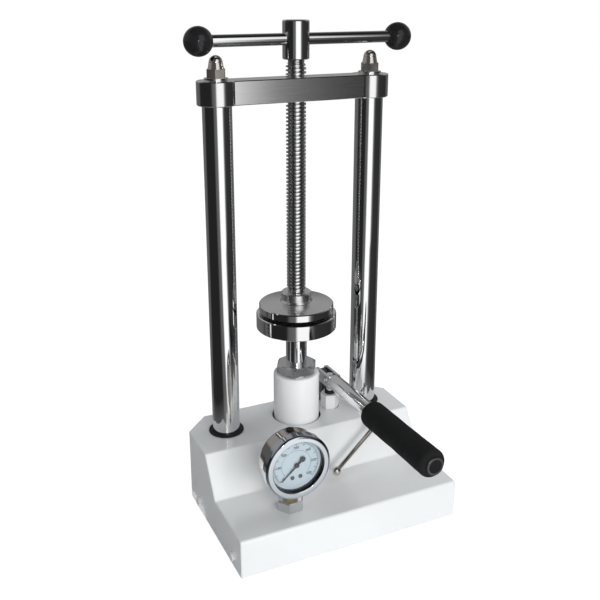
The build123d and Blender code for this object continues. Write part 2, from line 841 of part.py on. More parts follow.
# Cross bar: slides through the hub, with a stud at each end for a ball knob
knob_places = {"left": -1, "right": 1}
knob_centers = {name: bar_offset + side * knob_spacing / 2 for name, side in knob_places.items()}
bar_half = knob_spacing / 2 - knob_flat
bar_middle = Plane.YZ.offset(bar_offset)
with BuildPart() as cross_bar:
    with BuildSketch(bar_middle):
        with Locations((0, bar_height)):
            Circle(bar_diameter / 2)
    extrude(amount=bar_half, both=True)
    with BuildSketch(bar_middle):
        with Locations((0, bar_height)):
            Circle(knob_stud / 2)
    extrude(amount=bar_half + knob_stud_depth - loose_fit, both=True)
cross_bar.part.label = "cross_bar"
export_step(cross_bar.part, "parts/cross_bar.step")

# Ball knobs, each with a small flat against the bar's shoulder
for name, side in knob_places.items():
    flat_face = Plane(
        origin=(knob_centers[name] - side * knob_flat, 0, bar_height), z_dir=(-side, 0, 0)
    )
    with BuildPart() as knob:
        with Locations((knob_centers[name], 0, bar_height)):
            Sphere(knob_diameter / 2)
        split(bisect_by=flat_face, keep=Keep.BOTTOM)
        with BuildSketch(flat_face):
            Circle(knob_stud / 2 + seat_fit)
        extrude(amount=-knob_stud_depth, mode=Mode.SUBTRACT)
    knob.part.label = f"knob_{name}"
    export_step(knob.part, f"parts/knob_{name}.step")

# Hydraulic block: L-shaped round the right column, its front face square to the release valve
with BuildPart() as hydraulic_block:
    with BuildSketch(Plane.XY.offset(bed_thickness)):
        with BuildLine():
            Polyline(
                (block_left, -block_front),
                (block_right, -block_front),
                (block_right, -column_diameter / 2 - block_gap),
                (block_waist, -column_diameter / 2 - block_gap),
                (block_waist, block_back),
                (block_left, block_back),
                close=True,
            )
        make_face()
    extrude(amount=block_height)
    split(bisect_by=valve_plane.offset(-valve_depth), keep=Keep.BOTTOM)
    with BuildSketch(Plane.XY.offset(block_top - pump_spigot_depth)):
        with Locations((pump_x, pump_y)):
            Circle(pump_spigot / 2 + seat_fit)
    extrude(amount=pump_spigot_depth, mode=Mode.SUBTRACT)
    with BuildSketch(Plane.XY.offset(block_top - post_spigot_depth)):
        with Locations((pump_x, fulcrum_y)):
            Circle(post_spigot / 2 + seat_fit)
    extrude(amount=post_spigot_depth, mode=Mode.SUBTRACT)
    with BuildSketch(Plane.YZ.offset(block_left)):
        with Locations((0, nipple_level)):
            Circle(nipple_diameter / 2 + seat_fit)
    extrude(amount=nipple_depth, mode=Mode.SUBTRACT)
    with BuildSketch(Plane.YZ.offset(block_left)):
        with Locations((suction_y, pipe_level)):
            Circle(pipe_diameter / 2 + seat_fit)
    extrude(amount=pipe_depth, mode=Mode.SUBTRACT)
    with BuildSketch(Plane.XZ.offset(block_front)):
        with Locations((pressure_x, pipe_level)):
            Circle(pipe_diameter / 2 + seat_fit)
    extrude(amount=-block_front + pipe_depth, mode=Mode.SUBTRACT)
    with BuildSketch(Plane.XY.offset(bed_thickness)):
        with Locations(*block_screw_points):
            Circle(bed_screw_size / 2 + seat_fit)
    extrude(amount=bed_screw_grip, mode=Mode.SUBTRACT)
hydraulic_block.part.label = "hydraulic_block"
export_step(hydraulic_block.part, "parts/hydraulic_block.step")

# Feed nipple between the block and the cylinder
with BuildPart() as feed_nipple:
    with BuildSketch(Plane.YZ.offset(barrel_diameter / 2 - nipple_seat)):
        with Locations((0, nipple_level)):
            Circle(nipple_diameter / 2)
            Circle(port_diameter / 2, mode=Mode.SUBTRACT)
    extrude(amount=nipple_seat + block_gap + nipple_depth - loose_fit)
feed_nipple.part.label = "feed_nipple"
export_step(feed_nipple.part, "parts/feed_nipple.step")

# Oil tank beside the cylinder, with a breather hole in its top
tank_right = -barrel_diameter / 2 - tank_gap
tank_middle = (tank_right - tank_width / 2, (tank_back - tank_front) / 2)
with BuildPart() as oil_tank:
    with BuildSketch(Plane.XY.offset(bed_thickness)):
        with Locations(tank_middle):
            Rectangle(tank_width, tank_front + tank_back)
    extrude(amount=tank_height)
    with BuildSketch(Plane.XY.offset(bed_thickness + tank_wall)):
        with Locations(tank_middle):
            Rectangle(tank_width - 2 * tank_wall, tank_front + tank_back - 2 * tank_wall)
    extrude(amount=tank_height - 2 * tank_wall, mode=Mode.SUBTRACT)
    with BuildSketch(Plane.XY.offset(bed_thickness + tank_height)):
        with Locations(tank_middle):
            Circle(breather / 2)
    extrude(amount=-tank_wall - cut_margin, mode=Mode.SUBTRACT)
    with BuildSketch(Plane.YZ.offset(tank_right)):
        with Locations((suction_y, pipe_level)):
            Circle(pipe_diameter / 2 + seat_fit)
    extrude(amount=-tank_wall - cut_margin, mode=Mode.SUBTRACT)
oil_tank.part.label = "oil_tank"
export_step(oil_tank.part, "parts/oil_tank.step")

# Suction pipe, straight behind the cylinder from the tank to the block
with BuildPart() as suction_pipe:
    with BuildSketch(Plane.YZ.offset(tank_right - tank_wall)):
        with Locations((suction_y, pipe_level)):
            Circle(pipe_diameter / 2)
            Circle(pipe_bore / 2, mode=Mode.SUBTRACT)
    extrude(amount=block_left + pipe_depth - loose_fit - tank_right + tank_wall)
suction_pipe.part.label = "suction_pipe"
export_step(suction_pipe.part, "parts/suction_pipe.step")

# Pressure pipe from the block's front, along the casing's front, up into the gauge fitting
with BuildPart() as pressure_pipe:
    with BuildLine() as pipe_route:
        FilletPolyline(
            (pressure_x, -pipe_depth - loose_fit, pipe_level),
            (pressure_x, stem_y, pipe_level),
            (gauge_x, stem_y, pipe_level),
            (gauge_x, stem_y, step_height),
            radius=pipe_bend,
        )
    with BuildSketch(Plane(origin=pipe_route.line @ 0, z_dir=pipe_route.line % 0)):
        Circle(pipe_diameter / 2)
        Circle(pipe_bore / 2, mode=Mode.SUBTRACT)
    sweep()
pressure_pipe.part.label = "pressure_pipe"
export_step(pressure_pipe.part, "parts/pressure_pipe.step")

# Pump body: a hexagon that screws into the block and stands through the deck
with BuildPart() as pump_body:
    with BuildSketch(Plane.XY.offset(block_top)):
        with Locations((pump_x, pump_y)):
            RegularPolygon(pump_flats / 2, 6, major_radius=False, rotation=pump_turn)
    extrude(amount=pump_top - block_top)
    with BuildSketch(Plane.XY.offset(block_top)):
        with Locations((pump_x, pump_y)):
            Circle(pump_spigot / 2)
    extrude(amount=-pump_spigot_depth + loose_fit)
    with BuildSketch(Plane.XY.offset(block_top - pump_spigot_depth + pump_floor)):
        with Locations((pump_x, pump_y)):
            Circle(plunger_diameter / 2 + running_fit)
    extrude(amount=pump_top - block_top + pump_spigot_depth - pump_floor, mode=Mode.SUBTRACT)
    with BuildSketch(Plane.XY.offset(block_top - pump_spigot_depth)):
        with Locations((pump_x, pump_y)):
            Circle(pump_valve_bore / 2)
    extrude(amount=pump_spigot_depth, mode=Mode.SUBTRACT)
pump_body.part.label = "pump_body"
export_step(pump_body.part, "parts/pump_body.step")

# Pump seal, a dark ring on the pump body's top
with BuildPart() as pump_seal:
    with BuildSketch(Plane.XY.offset(pump_top)):
        with Locations((pump_x, pump_y)):
            Circle(pump_seal_diameter / 2)
            Circle(plunger_diameter / 2 + running_fit, mode=Mode.SUBTRACT)
    extrude(amount=pump_seal_height)
pump_seal.part.label = "pump_seal"
export_step(pump_seal.part, "parts/pump_seal.step")

# Plunger, cross-drilled at the lever's height
plunger_bottom = block_top - pump_spigot_depth + pump_floor + plunger_clear
with BuildPart() as pump_plunger:
    with BuildSketch(Plane.XY.offset(plunger_bottom)):
        with Locations((pump_x, pump_y)):
            Circle(plunger_diameter / 2)
    extrude(amount=pin_height + plunger_head - plunger_bottom)
    with BuildSketch(lever_side):
        with Locations((pin_place, 0)):
            Circle(plunger_pin_size / 2 + seat_fit)
    extrude(amount=fork_width, both=True, mode=Mode.SUBTRACT)
pump_plunger.part.label = "pump_plunger"
export_step(pump_plunger.part, "parts/pump_plunger.step")

# Pins: a shank through both cheeks of the fork and a head on each side of it
pin_reach = fork_width / 2 + turning_gap
for name, place, size in (("plunger_pin", pin_place, plunger_pin_size), ("fulcrum_pin", 0, fulcrum_size)):
    with BuildPart() as pin:
        with BuildSketch(lever_side):
            with Locations((place, 0)):
                Circle(size / 2)
        extrude(amount=pin_reach, both=True)
        for side in (-1, 1):
            with BuildSketch(lever_side.offset(side * pin_reach)):
                with Locations((place, 0)):
                    Circle(pin_head / 2)
            extrude(amount=side * pin_head_height)
    pin.part.label = name
    export_step(pin.part, f"parts/{name}.step")

# Fulcrum post: a flat bar on the block, through the deck, with a round top
with BuildPart() as fulcrum_post:
    with BuildSketch(post_side.offset(-post_width / 2)):
        Circle(post_depth / 2)
        with Locations((0, (block_top - pivot_height) / 2)):
            Rectangle(post_depth, pivot_height - block_top)
        Circle(fulcrum_size / 2 + seat_fit, mode=Mode.SUBTRACT)
    extrude(amount=post_width)
    with BuildSketch(Plane.XY.offset(block_top)):
        with Locations((pump_x, fulcrum_y)):
            Circle(post_spigot / 2)
    extrude(amount=-post_spigot_depth + loose_fit)
fulcrum_post.part.label = "fulcrum_post"
export_step(fulcrum_post.part, "parts/fulcrum_post.step")

# Lever fork: two cheeks round the post and the plunger, and a shank inside the handle tube
with BuildPart() as lever_fork:
    with BuildSketch(lever_side.offset(-fork_width / 2)):
        Circle(fork_height / 2)
        with Locations((-fork_length / 2, 0)):
            Rectangle(fork_length, fork_height)
    extrude(amount=fork_width)
    with BuildSketch(handle_plane):
        Circle(tube_diameter / 2 - tube_wall - seat_fit)
    extrude(amount=fork_shank)
    with BuildSketch(lever_side.offset(-fork_slot / 2)):
        with Locations(((fork_height - fork_slot_length) / 2, 0)):
            Rectangle(fork_height + fork_slot_length, 2 * fork_height)
    extrude(amount=fork_slot, mode=Mode.SUBTRACT)
    with BuildSketch(lever_side):
        Circle(fulcrum_size / 2 + running_fit)
        with Locations((pin_place + (pin_slot_back - pin_slot_front) / 2, 0)):
            SlotCenterToCenter(pin_slot_back + pin_slot_front, plunger_pin_size + pin_slot_margin)
    extrude(amount=fork_width, both=True, mode=Mode.SUBTRACT)
lever_fork.part.label = "lever_fork"
export_step(lever_fork.part, "parts/lever_fork.step")

# Handle tube
with BuildPart() as handle_tube:
    with BuildSketch(handle_plane):
        Circle(tube_diameter / 2)
        Circle(tube_diameter / 2 - tube_wall, mode=Mode.SUBTRACT)
    extrude(amount=tube_length)
handle_tube.part.label = "handle_tube"
export_step(handle_tube.part, "parts/handle_tube.step")

# Foam grip with rounded ends
with BuildPart() as handle_grip:
    with BuildSketch(handle_plane.offset(grip_front)):
        Circle(grip_diameter / 2)
    extrude(amount=-grip_length)
    fillet(handle_grip.edges().filter_by(GeomType.CIRCLE), radius=grip_rounding)
    with BuildSketch(handle_plane.offset(grip_front)):
        Circle(tube_diameter / 2 + seat_fit)
    extrude(amount=-grip_length, mode=Mode.SUBTRACT)
handle_grip.part.label = "handle_grip"
export_step(handle_grip.part, "parts/handle_grip.step")

# End plug inside the tube
with BuildPart() as handle_plug:
    with BuildSketch(handle_plane.offset(tube_length)):
        Circle(tube_diameter / 2 - tube_wall - seat_fit)
    extrude(amount=-plug_depth)
handle_plug.part.label = "handle_plug"
export_step(handle_plug.part, "parts/handle_plug.step")

# Release valve bonnet: stands on the block's front face and through the sloped face
with BuildPart() as valve_bonnet:
    with BuildSketch(valve_plane.offset(-valve_depth)):
        Circle(bonnet_diameter / 2)
        Circle(valve_stem / 2 + running_fit, mode=Mode.SUBTRACT)
    extrude(amount=valve_depth + bonnet_stand)
valve_bonnet.part.label = "valve_bonnet"
export_step(valve_bonnet.part, "parts/valve_bonnet.step")

# Valve spindle: a stem in the bonnet and a round head that takes the rod
head_bottom = rod_stand - valve_head_height / 2
rod_radians = math.radians(rod_angle)
rod_direction = valve_plane.x_dir * math.cos(rod_radians) + valve_plane.y_dir * math.sin(rod_radians)
rod_plane = Plane(origin=valve_plane.offset(rod_stand).origin, z_dir=rod_direction)
rod_start = valve_head / 2 - rod_depth
with BuildPart() as valve_spindle:
    with BuildSketch(valve_plane.offset(turning_gap - valve_depth)):
        Circle(valve_stem / 2)
    extrude(amount=valve_depth - turning_gap + head_bottom)
    with BuildSketch(valve_plane.offset(head_bottom)):
        Circle(valve_head / 2)
    extrude(amount=valve_head_height)
    head_top = valve_spindle.faces().sort_by(Axis(valve_point, slope_normal))[-1]
    chamfer(head_top.edges(), length=valve_head_edge)
    with BuildSketch(rod_plane.offset(rod_start)):
        Circle(rod_diameter / 2 + seat_fit)
    extrude(amount=valve_head, mode=Mode.SUBTRACT)
valve_spindle.part.label = "valve_spindle"
export_step(valve_spindle.part, "parts/valve_spindle.step")

# Release rod, from inside the head to inside the ball
with BuildPart() as release_rod:
    with BuildSketch(rod_plane.offset(rod_start)):
        Circle(rod_diameter / 2)
    extrude(amount=rod_length - rod_start)
release_rod.part.label = "release_rod"
export_step(release_rod.part, "parts/release_rod.step")

# Release ball, turned about the rod's line
with BuildPart() as release_ball:
    with Locations(rod_plane.offset(rod_length).location):
        Sphere(release_ball_diameter / 2)
    with BuildSketch(rod_plane.offset(rod_length)):
        Circle(rod_diameter / 2 + seat_fit)
    extrude(amount=-release_ball_diameter, mode=Mode.SUBTRACT)
release_ball.part.label = "release_ball"
export_step(release_ball.part, "parts/release_ball.step")

# Gauge fitting: a chamfered hexagon on the step, with its thread through the sheet
with BuildPart() as gauge_fitting:
    with BuildSketch(Plane.XY.offset(step_height)):
        with Locations((gauge_x, stem_y)):
            RegularPolygon(fitting_flats / 2, 6, major_radius=False, rotation=fitting_turn)
    extrude(amount=fitting_height)
    chamfer(gauge_fitting.edges().group_by(Axis.Z)[-1], length=fitting_chamfer)
    with BuildSketch(Plane.XY.offset(step_height)):
        with Locations((gauge_x, stem_y)):
            Circle(fitting_thread / 2)
    extrude(amount=-sheet - lock_nut_height)
    with BuildSketch(Plane.XY.offset(step_underside - lock_nut_height)):
        with Locations((gauge_x, stem_y)):
            Circle(pipe_diameter / 2 + seat_fit)
    extrude(amount=fitting_height, mode=Mode.SUBTRACT)
    with BuildSketch(Plane.XY.offset(fitting_top)):
        with Locations((gauge_x, stem_y)):
            Circle(stem_thread / 2 + seat_fit)
    extrude(amount=-stem_thread_depth, mode=Mode.SUBTRACT)
gauge_fitting.part.label = "gauge_fitting"
export_step(gauge_fitting.part, "parts/gauge_fitting.step")

# Lock nut under the step
with BuildPart() as gauge_lock_nut:
    with BuildSketch(Plane.XY.offset(step_underside)):
        with Locations((gauge_x, stem_y)):
            RegularPolygon(lock_nut_flats / 2, 6, major_radius=False)
            Circle(fitting_thread / 2 + seat_fit, mode=Mode.SUBTRACT)
    extrude(amount=-lock_nut_height)
gauge_lock_nut.part.label = "gauge_lock_nut"
export_step(gauge_lock_nut.part, "parts/gauge_lock_nut.step")

# Gauge stem: thread in the fitting, wrench square, and the block inside the case
stem_top = gauge_center - stem_block_drop
with BuildPart() as gauge_stem:
    with BuildSketch(Plane.XY.offset(fitting_top)):
        with Locations((gauge_x, stem_y)):
            Rectangle(stem_flats, stem_flats)
    extrude(amount=stem_top - fitting_top)
    with BuildSketch(Plane.XY.offset(fitting_top)):
        with Locations((gauge_x, stem_y)):
            Circle(stem_thread / 2)
    extrude(amount=-stem_thread_depth + loose_fit)
    with BuildSketch(Plane.XY.offset(fitting_top - stem_thread_depth)):
        with Locations((gauge_x, stem_y)):
            Circle(stem_bore / 2)
    extrude(amount=stem_top - fitting_top, mode=Mode.SUBTRACT)
gauge_stem.part.label = "gauge_stem"
export_step(gauge_stem.part, "parts/gauge_stem.step")

# Gauge case: a round cup, open to the front, with holes for the stem and the filler plug
with BuildPart() as gauge_case:
    with BuildSketch(gauge_plane.offset(-case_depth)):
        Circle(case_diameter / 2)
    extrude(amount=case_depth - dial_depth - dial_thickness)
    fillet(gauge_case.edges().group_by(Axis.Y)[-1], radius=case_rounding)
    with BuildSketch(gauge_plane.offset(case_wall - case_depth)):
        Circle(case_diameter / 2 - case_wall)
    extrude(amount=case_depth - case_wall - dial_depth - dial_thickness, mode=Mode.SUBTRACT)
    with BuildSketch(Plane.XY.offset(fitting_top)):
        with Locations((gauge_x, stem_y)):
            Rectangle(stem_flats + 2 * seat_fit, stem_flats + 2 * seat_fit)
    extrude(amount=gauge_level - fitting_height, mode=Mode.SUBTRACT)
    with BuildSketch(Plane.XY.offset(gauge_center)):
        with Locations((gauge_x, stem_y)):
            Circle(filler_diameter / 2)
    extrude(amount=case_diameter, mode=Mode.SUBTRACT)
gauge_case.part.label = "gauge_case"
export_step(gauge_case.part, "parts/gauge_case.step")

# Bezel: a lip over the window and a skirt over the case
with BuildPart() as gauge_bezel:
    with BuildSketch(gauge_plane.offset(-bezel_depth)):
        Circle(seat_radius + bezel_wall)
    extrude(amount=bezel_depth)
    fillet(gauge_bezel.edges().group_by(Axis.Y)[0], radius=bezel_rounding)
    with BuildSketch(gauge_plane):
        Circle(seat_radius - bezel_lip_width)
    extrude(amount=-bezel_depth, mode=Mode.SUBTRACT)
    fillet(gauge_bezel.edges().group_by(Axis.Y)[0].sort_by(SortBy.RADIUS)[0], radius=bezel_inner_rounding)
    with BuildSketch(gauge_plane.offset(-bezel_depth)):
        Circle(seat_radius + seat_fit)
    extrude(amount=bezel_depth - bezel_lip, mode=Mode.SUBTRACT)
gauge_bezel.part.label = "gauge_bezel"
export_step(gauge_bezel.part, "parts/gauge_bezel.step")

# Window behind the lip
with BuildPart() as gauge_window:
    with BuildSketch(gauge_plane.offset(-bezel_lip)):
        Circle(seat_radius)
    extrude(amount=-window_thickness)
gauge_window.part.label = "gauge_window"
export_step(gauge_window.part, "parts/gauge_window.step")

# Black gasket between the window and the dial
with BuildPart() as gauge_gasket:
    with BuildSketch(gauge_plane.offset(-bezel_lip - window_thickness)):
        Circle(seat_radius)
        Circle(seat_radius - gasket_width, mode=Mode.SUBTRACT)
    extrude(amount=-gasket_height)
gauge_gasket.part.label = "gauge_gasket"
export_step(gauge_gasket.part, "parts/gauge_gasket.step")

# Dial, on the case's rim, with holes for the pointer's arbor and its two screws
dial_screw_points = [(-dial_screw_x, -dial_screw_drop), (dial_screw_x, -dial_screw_drop)]
with BuildPart() as gauge_dial:
    with BuildSketch(gauge_plane.offset(-dial_depth)):
        Circle(seat_radius)
        Circle(arbor_diameter / 2 + loose_fit, mode=Mode.SUBTRACT)
        with Locations(*dial_screw_points):
            Circle(dial_screw_size / 2 + seat_fit, mode=Mode.SUBTRACT)
    extrude(amount=-dial_thickness)
gauge_dial.part.label = "gauge_dial"
export_step(gauge_dial.part, "parts/gauge_dial.step")

# Movement: a plate on the stem block behind the dial, which carries the arbor and the dial
movement_front = gauge_plane.offset(-dial_depth - dial_thickness)
movement_reach = seat_radius - case_wall - movement_clearance
movement_fall = math.sqrt(movement_reach**2 - (movement_width / 2) ** 2)
with BuildPart() as gauge_movement:
    with BuildSketch(movement_front):
        with Locations((0, (movement_rise - movement_fall) / 2)):
            Rectangle(movement_width, movement_rise + movement_fall)
        Circle(arbor_diameter / 2 + running_fit, mode=Mode.SUBTRACT)
        with Locations(*dial_screw_points):
            Circle(dial_screw_size / 2 + seat_fit, mode=Mode.SUBTRACT)
    extrude(amount=-movement_depth)
    with BuildSketch(Plane.XY.offset(gauge_center - movement_fall)):
        with Locations((gauge_x, stem_y)):
            Rectangle(stem_flats + 2 * seat_fit, stem_flats + 2 * seat_fit)
    extrude(amount=movement_fall - stem_block_drop, mode=Mode.SUBTRACT)
gauge_movement.part.label = "gauge_movement"
export_step(gauge_movement.part, "parts/gauge_movement.step")

# Curved pressure tube: an arc behind the movement, from the stem block round to its free end
tube_plane = Plane(origin=(gauge_x, stem_y, gauge_center), x_dir=(1, 0, 0), z_dir=(0, -1, 0))
with BuildPart() as bourdon_tube:
    with BuildLine(tube_plane) as tube_route:
        CenterArc((0, 0), tube_radius, 270, tube_sweep)
    with BuildSketch(Plane(origin=tube_route.line @ 0, z_dir=tube_route.line % 0)):
        Circle(tube_section / 2)
    sweep()
    with BuildSketch(Plane.XY.offset(fitting_top)):
        with Locations((gauge_x, stem_y)):
            Rectangle(stem_flats + 2 * seat_fit, stem_flats + 2 * seat_fit)
    extrude(amount=stem_top - fitting_top, mode=Mode.SUBTRACT)
bourdon_tube.part.label = "bourdon_tube"
export_step(bourdon_tube.part, "parts/bourdon_tube.step")

# Dial screws
with BuildPart() as dial_screws:
    with BuildSketch(gauge_plane.offset(-dial_depth)):
        with Locations(*dial_screw_points):
            Circle(dial_screw_head / 2)
    extrude(amount=dial_screw_head_height)
    with BuildSketch(gauge_plane.offset(-dial_depth)):
        with Locations(*dial_screw_points):
            Circle(dial_screw_size / 2)
    extrude(amount=-dial_screw_length)
dial_screws.part.label = "dial_screws"
export_step(dial_screws.part, "parts/dial_screws.step")

# Pointer: a tapered needle with a round tail, on its arbor
pointer_plane = gauge_plane.offset(-dial_depth + dial_screw_head_height + pointer_gap)
pointer_face = Plane(
    origin=pointer_plane.origin,
    x_dir=pointer_plane.x_dir * math.cos(math.radians(pointer_angle))
    + pointer_plane.y_dir * math.sin(math.radians(pointer_angle)),
    z_dir=pointer_plane.z_dir,
)
with BuildPart() as gauge_pointer:
    with BuildSketch(pointer_face):
        with BuildLine():
            Polyline(
                (-pointer_tail, -pointer_width / 2),
                (pointer_length, -pointer_tip / 2),
                (pointer_length, pointer_tip / 2),
                (-pointer_tail, pointer_width / 2),
                close=True,
            )
        make_face()
        Circle(pointer_hub / 2)
        with Locations((-pointer_tail, 0)):
            Circle(pointer_tail_dot / 2)
    extrude(amount=pointer_thickness)
    with BuildSketch(pointer_face):
        Circle(arbor_diameter / 2)
    extrude(amount=-pointer_gap - dial_screw_head_height - dial_thickness - movement_depth)
gauge_pointer.part.label = "gauge_pointer"
export_step(gauge_pointer.part, "parts/gauge_pointer.step")

# Filler plug on top of the case
with BuildPart() as gauge_filler_plug:
    with BuildSketch(Plane.XY.offset(gauge_center + seat_radius - filler_depth)):
        with Locations((gauge_x, stem_y)):
            Circle(filler_diameter / 2 - seat_fit)
    extrude(amount=filler_depth + filler_stand)
gauge_filler_plug.part.label = "gauge_filler_plug"
export_step(gauge_filler_plug.part, "parts/gauge_filler_plug.step")
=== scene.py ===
"""Looks of a bench press: painted base, chrome columns, threaded spindle, hand pump and dial gauge."""

import math

import bmesh
import bpy
from mathutils import Matrix, Vector


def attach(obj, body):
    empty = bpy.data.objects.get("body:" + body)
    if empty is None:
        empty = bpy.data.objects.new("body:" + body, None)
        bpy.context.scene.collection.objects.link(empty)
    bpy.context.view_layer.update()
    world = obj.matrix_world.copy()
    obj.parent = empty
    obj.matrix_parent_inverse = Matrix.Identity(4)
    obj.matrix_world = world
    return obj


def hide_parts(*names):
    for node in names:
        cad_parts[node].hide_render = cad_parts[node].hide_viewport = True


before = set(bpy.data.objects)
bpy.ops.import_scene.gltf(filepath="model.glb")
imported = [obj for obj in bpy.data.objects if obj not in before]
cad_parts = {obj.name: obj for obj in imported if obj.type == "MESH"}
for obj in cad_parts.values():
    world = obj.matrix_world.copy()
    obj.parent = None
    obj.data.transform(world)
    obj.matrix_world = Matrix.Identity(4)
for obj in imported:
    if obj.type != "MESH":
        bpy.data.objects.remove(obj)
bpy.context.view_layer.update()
scene = bpy.context.scene
scene.view_settings.view_transform = "Standard"

# Camera: a 50 mm view from the front left, a little above the press.
# It stands about 0.9 m from the press axis, at the height of the cross bar.
azimuth = math.radians(-25.016)
elevation = math.radians(17.472)
camera_back = Vector(
    (
        math.sin(azimuth) * math.cos(elevation),
        -math.cos(azimuth) * math.cos(elevation),
        math.sin(elevation),
    )
)
camera_data = bpy.data.cameras.new("photo_camera")
camera_data.sensor_width = 36.0
camera_data.lens = 49.97
camera_data.shift_y = -0.0833
camera = bpy.data.objects.new("photo_camera", camera_data)
camera.location = (-0.36144, -0.78436, 0.5534)
camera.rotation_euler = camera_back.to_track_quat("Z", "Y").to_euler()
scene.collection.objects.link(camera)
scene.camera = camera


# White studio: the room is white to the eye and in reflections, and a softer white to the object.
# A large soft lamp stands low in front, a weak one hangs over the right side,
# and a small one beside the camera leaves the bright spots on the balls and nuts.
def add_node(tree, kind, inputs=None, **settings):
    """A node with its settings, and each named input set to a value or linked to a socket."""
    node = tree.nodes.new(kind)
    for name, value in settings.items():
        setattr(node, name, value)
    for name, value in (inputs or {}).items():
        if isinstance(value, bpy.types.NodeSocket):
            tree.links.new(value, node.inputs[name])
        else:
            node.inputs[name].default_value = value
    return node


def seen_directly(tree):
    """1 for the eye, and for what metal and glass show, 0 for plain light."""
    path = add_node(tree, "ShaderNodeLightPath")
    mirror = add_node(
        tree,
        "ShaderNodeMath",
        {0: path.outputs["Is Glossy Ray"], 1: path.outputs["Is Transmission Ray"]},
        operation="MAXIMUM",
    )
    return add_node(
        tree,
        "ShaderNodeMath",
        {0: path.outputs["Is Camera Ray"], 1: mirror.outputs[0]},
        operation="MAXIMUM",
    ).outputs[0]


world = bpy.data.worlds.new("white_studio")
world.use_nodes = True
world.node_tree.nodes.clear()
room = add_node(world.node_tree, "ShaderNodeBackground", {"Color": (1, 1, 1, 1), "Strength": 1.0})
ambient = add_node(world.node_tree, "ShaderNodeBackground", {"Color": (0.95, 0.98, 1, 1), "Strength": 0.38})
mixed = add_node(
    world.node_tree,
    "ShaderNodeMixShader",
    {0: seen_directly(world.node_tree), 1: ambient.outputs[0], 2: room.outputs[0]},
)
add_node(world.node_tree, "ShaderNodeOutputWorld", {"Surface": mixed.outputs[0]})
scene.world = world

for name, width, height, energy, place, mirrored in (
    ("key_lamp", 2.2, 1.4, 63.0, (0.14, -3.2, 0.9), False),
    ("top_lamp", 0.6, 0.6, 3.2, (0.75, 0.1, 1.0), False),
    ("spot_lamp", 0.08, 0.08, 0.5, (-0.34, -0.9, 0.62), True),
):
    lamp_data = bpy.data.lights.new(name, "AREA")
    lamp_data.shape = "RECTANGLE"
    lamp_data.size = width
    lamp_data.size_y = height
    lamp_data.energy = energy
    lamp = bpy.data.objects.new(name, lamp_data)
    lamp.location = place
    lamp.rotation_euler = (lamp.location - Vector((0, 0, 0.2))).to_track_quat("Z", "Y").to_euler()
    lamp.visible_glossy = mirrored
    scene.collection.objects.link(lamp)


# Floor: a pale table top that fades into the white room and keeps a faint shadow.
# It lies just under the bed plate.
def mesh_piece(name, points, faces, material=None, smooth_angle=None):
    """A mesh object at the origin, with its place in its mesh."""
    mesh = bpy.data.meshes.new(name)
    mesh.from_pydata(points, [], faces)
    mesh.update()
    if smooth_angle is not None:
        mesh.shade_smooth()
        mesh.set_sharp_from_angle(angle=math.radians(smooth_angle))
    piece = bpy.data.objects.new(name, mesh)
    scene.collection.objects.link(piece)
    if material is not None:
        mesh.materials.append(material)
    return piece


table_top = bpy.data.materials.new("table_top")
table_top.use_nodes = True
tree = table_top.node_tree
tree.nodes.clear()
matte = add_node(tree, "ShaderNodeBsdfDiffuse", {"Color": (0.9, 0.9, 0.9, 1)})
glow = add_node(tree, "ShaderNodeEmission", {"Color": (1, 1, 1, 1), "Strength": 1.32})
share = add_node(tree, "ShaderNodeMath", {0: seen_directly(tree), 1: 0.7}, operation="MULTIPLY")
top = add_node(
    tree, "ShaderNodeMixShader", {0: share.outputs[0], 1: matte.outputs[0], 2: glow.outputs[0]}
)
add_node(tree, "ShaderNodeOutputMaterial", {"Surface": top.outputs[0]})
floor_reach = 4.0
floor_level = -0.0002
floor_corners = [(-1, -1), (1, -1), (1, 1), (-1, 1)]
floor = mesh_piece(
    "floor",
    [(x * floor_reach, y * floor_reach, floor_level) for x, y in floor_corners],
    [(0, 1, 2, 3)],
    table_top,
)


# Reflection cards: grey and dark cards around and over the press, seen only in polished metal and gloss.
# A soft box in front gives the bright stripe on the columns, a side box above it the light on the cross
# bar, and a pale strip at the back the light on top of the crosshead.
def turned(name, profile, segments=96, material=None, smooth_angle=40, axis=None):
    """A shape of revolution. The profile is (radius, distance along the axis) from end to end."""
    points = []
    rings = []
    for radius, along in profile:
        if radius < 1e-9:
            rings.append([len(points)] * segments)
            points.append(Vector((0, 0, along)))
            continue
        rings.append(range(len(points), len(points) + segments))
        for step in range(segments):
            angle = math.tau * step / segments
            points.append(Vector((radius * math.cos(angle), radius * math.sin(angle), along)))
    if axis is not None:
        points = [axis @ point for point in points]
    faces = []
    for low, high in zip(rings, rings[1:]):
        for step in range(segments):
            after = (step + 1) % segments
            corners = [low[step], low[after], high[after], high[step]]
            faces.append(list(dict.fromkeys(corners)))
    return mesh_piece(name, points, faces, material, smooth_angle)


card_strength = 1.25
card_levels = (
    (-180, 0.13),
    (-132, 0.10),
    (-118, 0.016),
    (-52, 0.016),
    (-43, 0.10),
    (-27, 0.13),
    (-20, 1.0),
    (10, 1.0),
    (15, 0.3),
    (21, 0.09),
    (30, 0.03),
    (86, 0.024),
    (98, 0.10),
    (180, 0.13),
)
card = bpy.data.materials.new("reflection_card")
card.use_nodes = True
tree = card.node_tree
tree.nodes.clear()
place = add_node(tree, "ShaderNodeTexCoord")
spot = add_node(tree, "ShaderNodeSeparateXYZ", {0: place.outputs["Object"]})
front = add_node(tree, "ShaderNodeMath", {0: spot.outputs["Y"], 1: -1.0}, operation="MULTIPLY")
turn = add_node(
    tree, "ShaderNodeMath", {0: spot.outputs["X"], 1: front.outputs[0]}, operation="ARCTAN2"
)
around = add_node(
    tree, "ShaderNodeMapRange", {"Value": turn.outputs[0], "From Min": -math.pi, "From Max": math.pi}
)
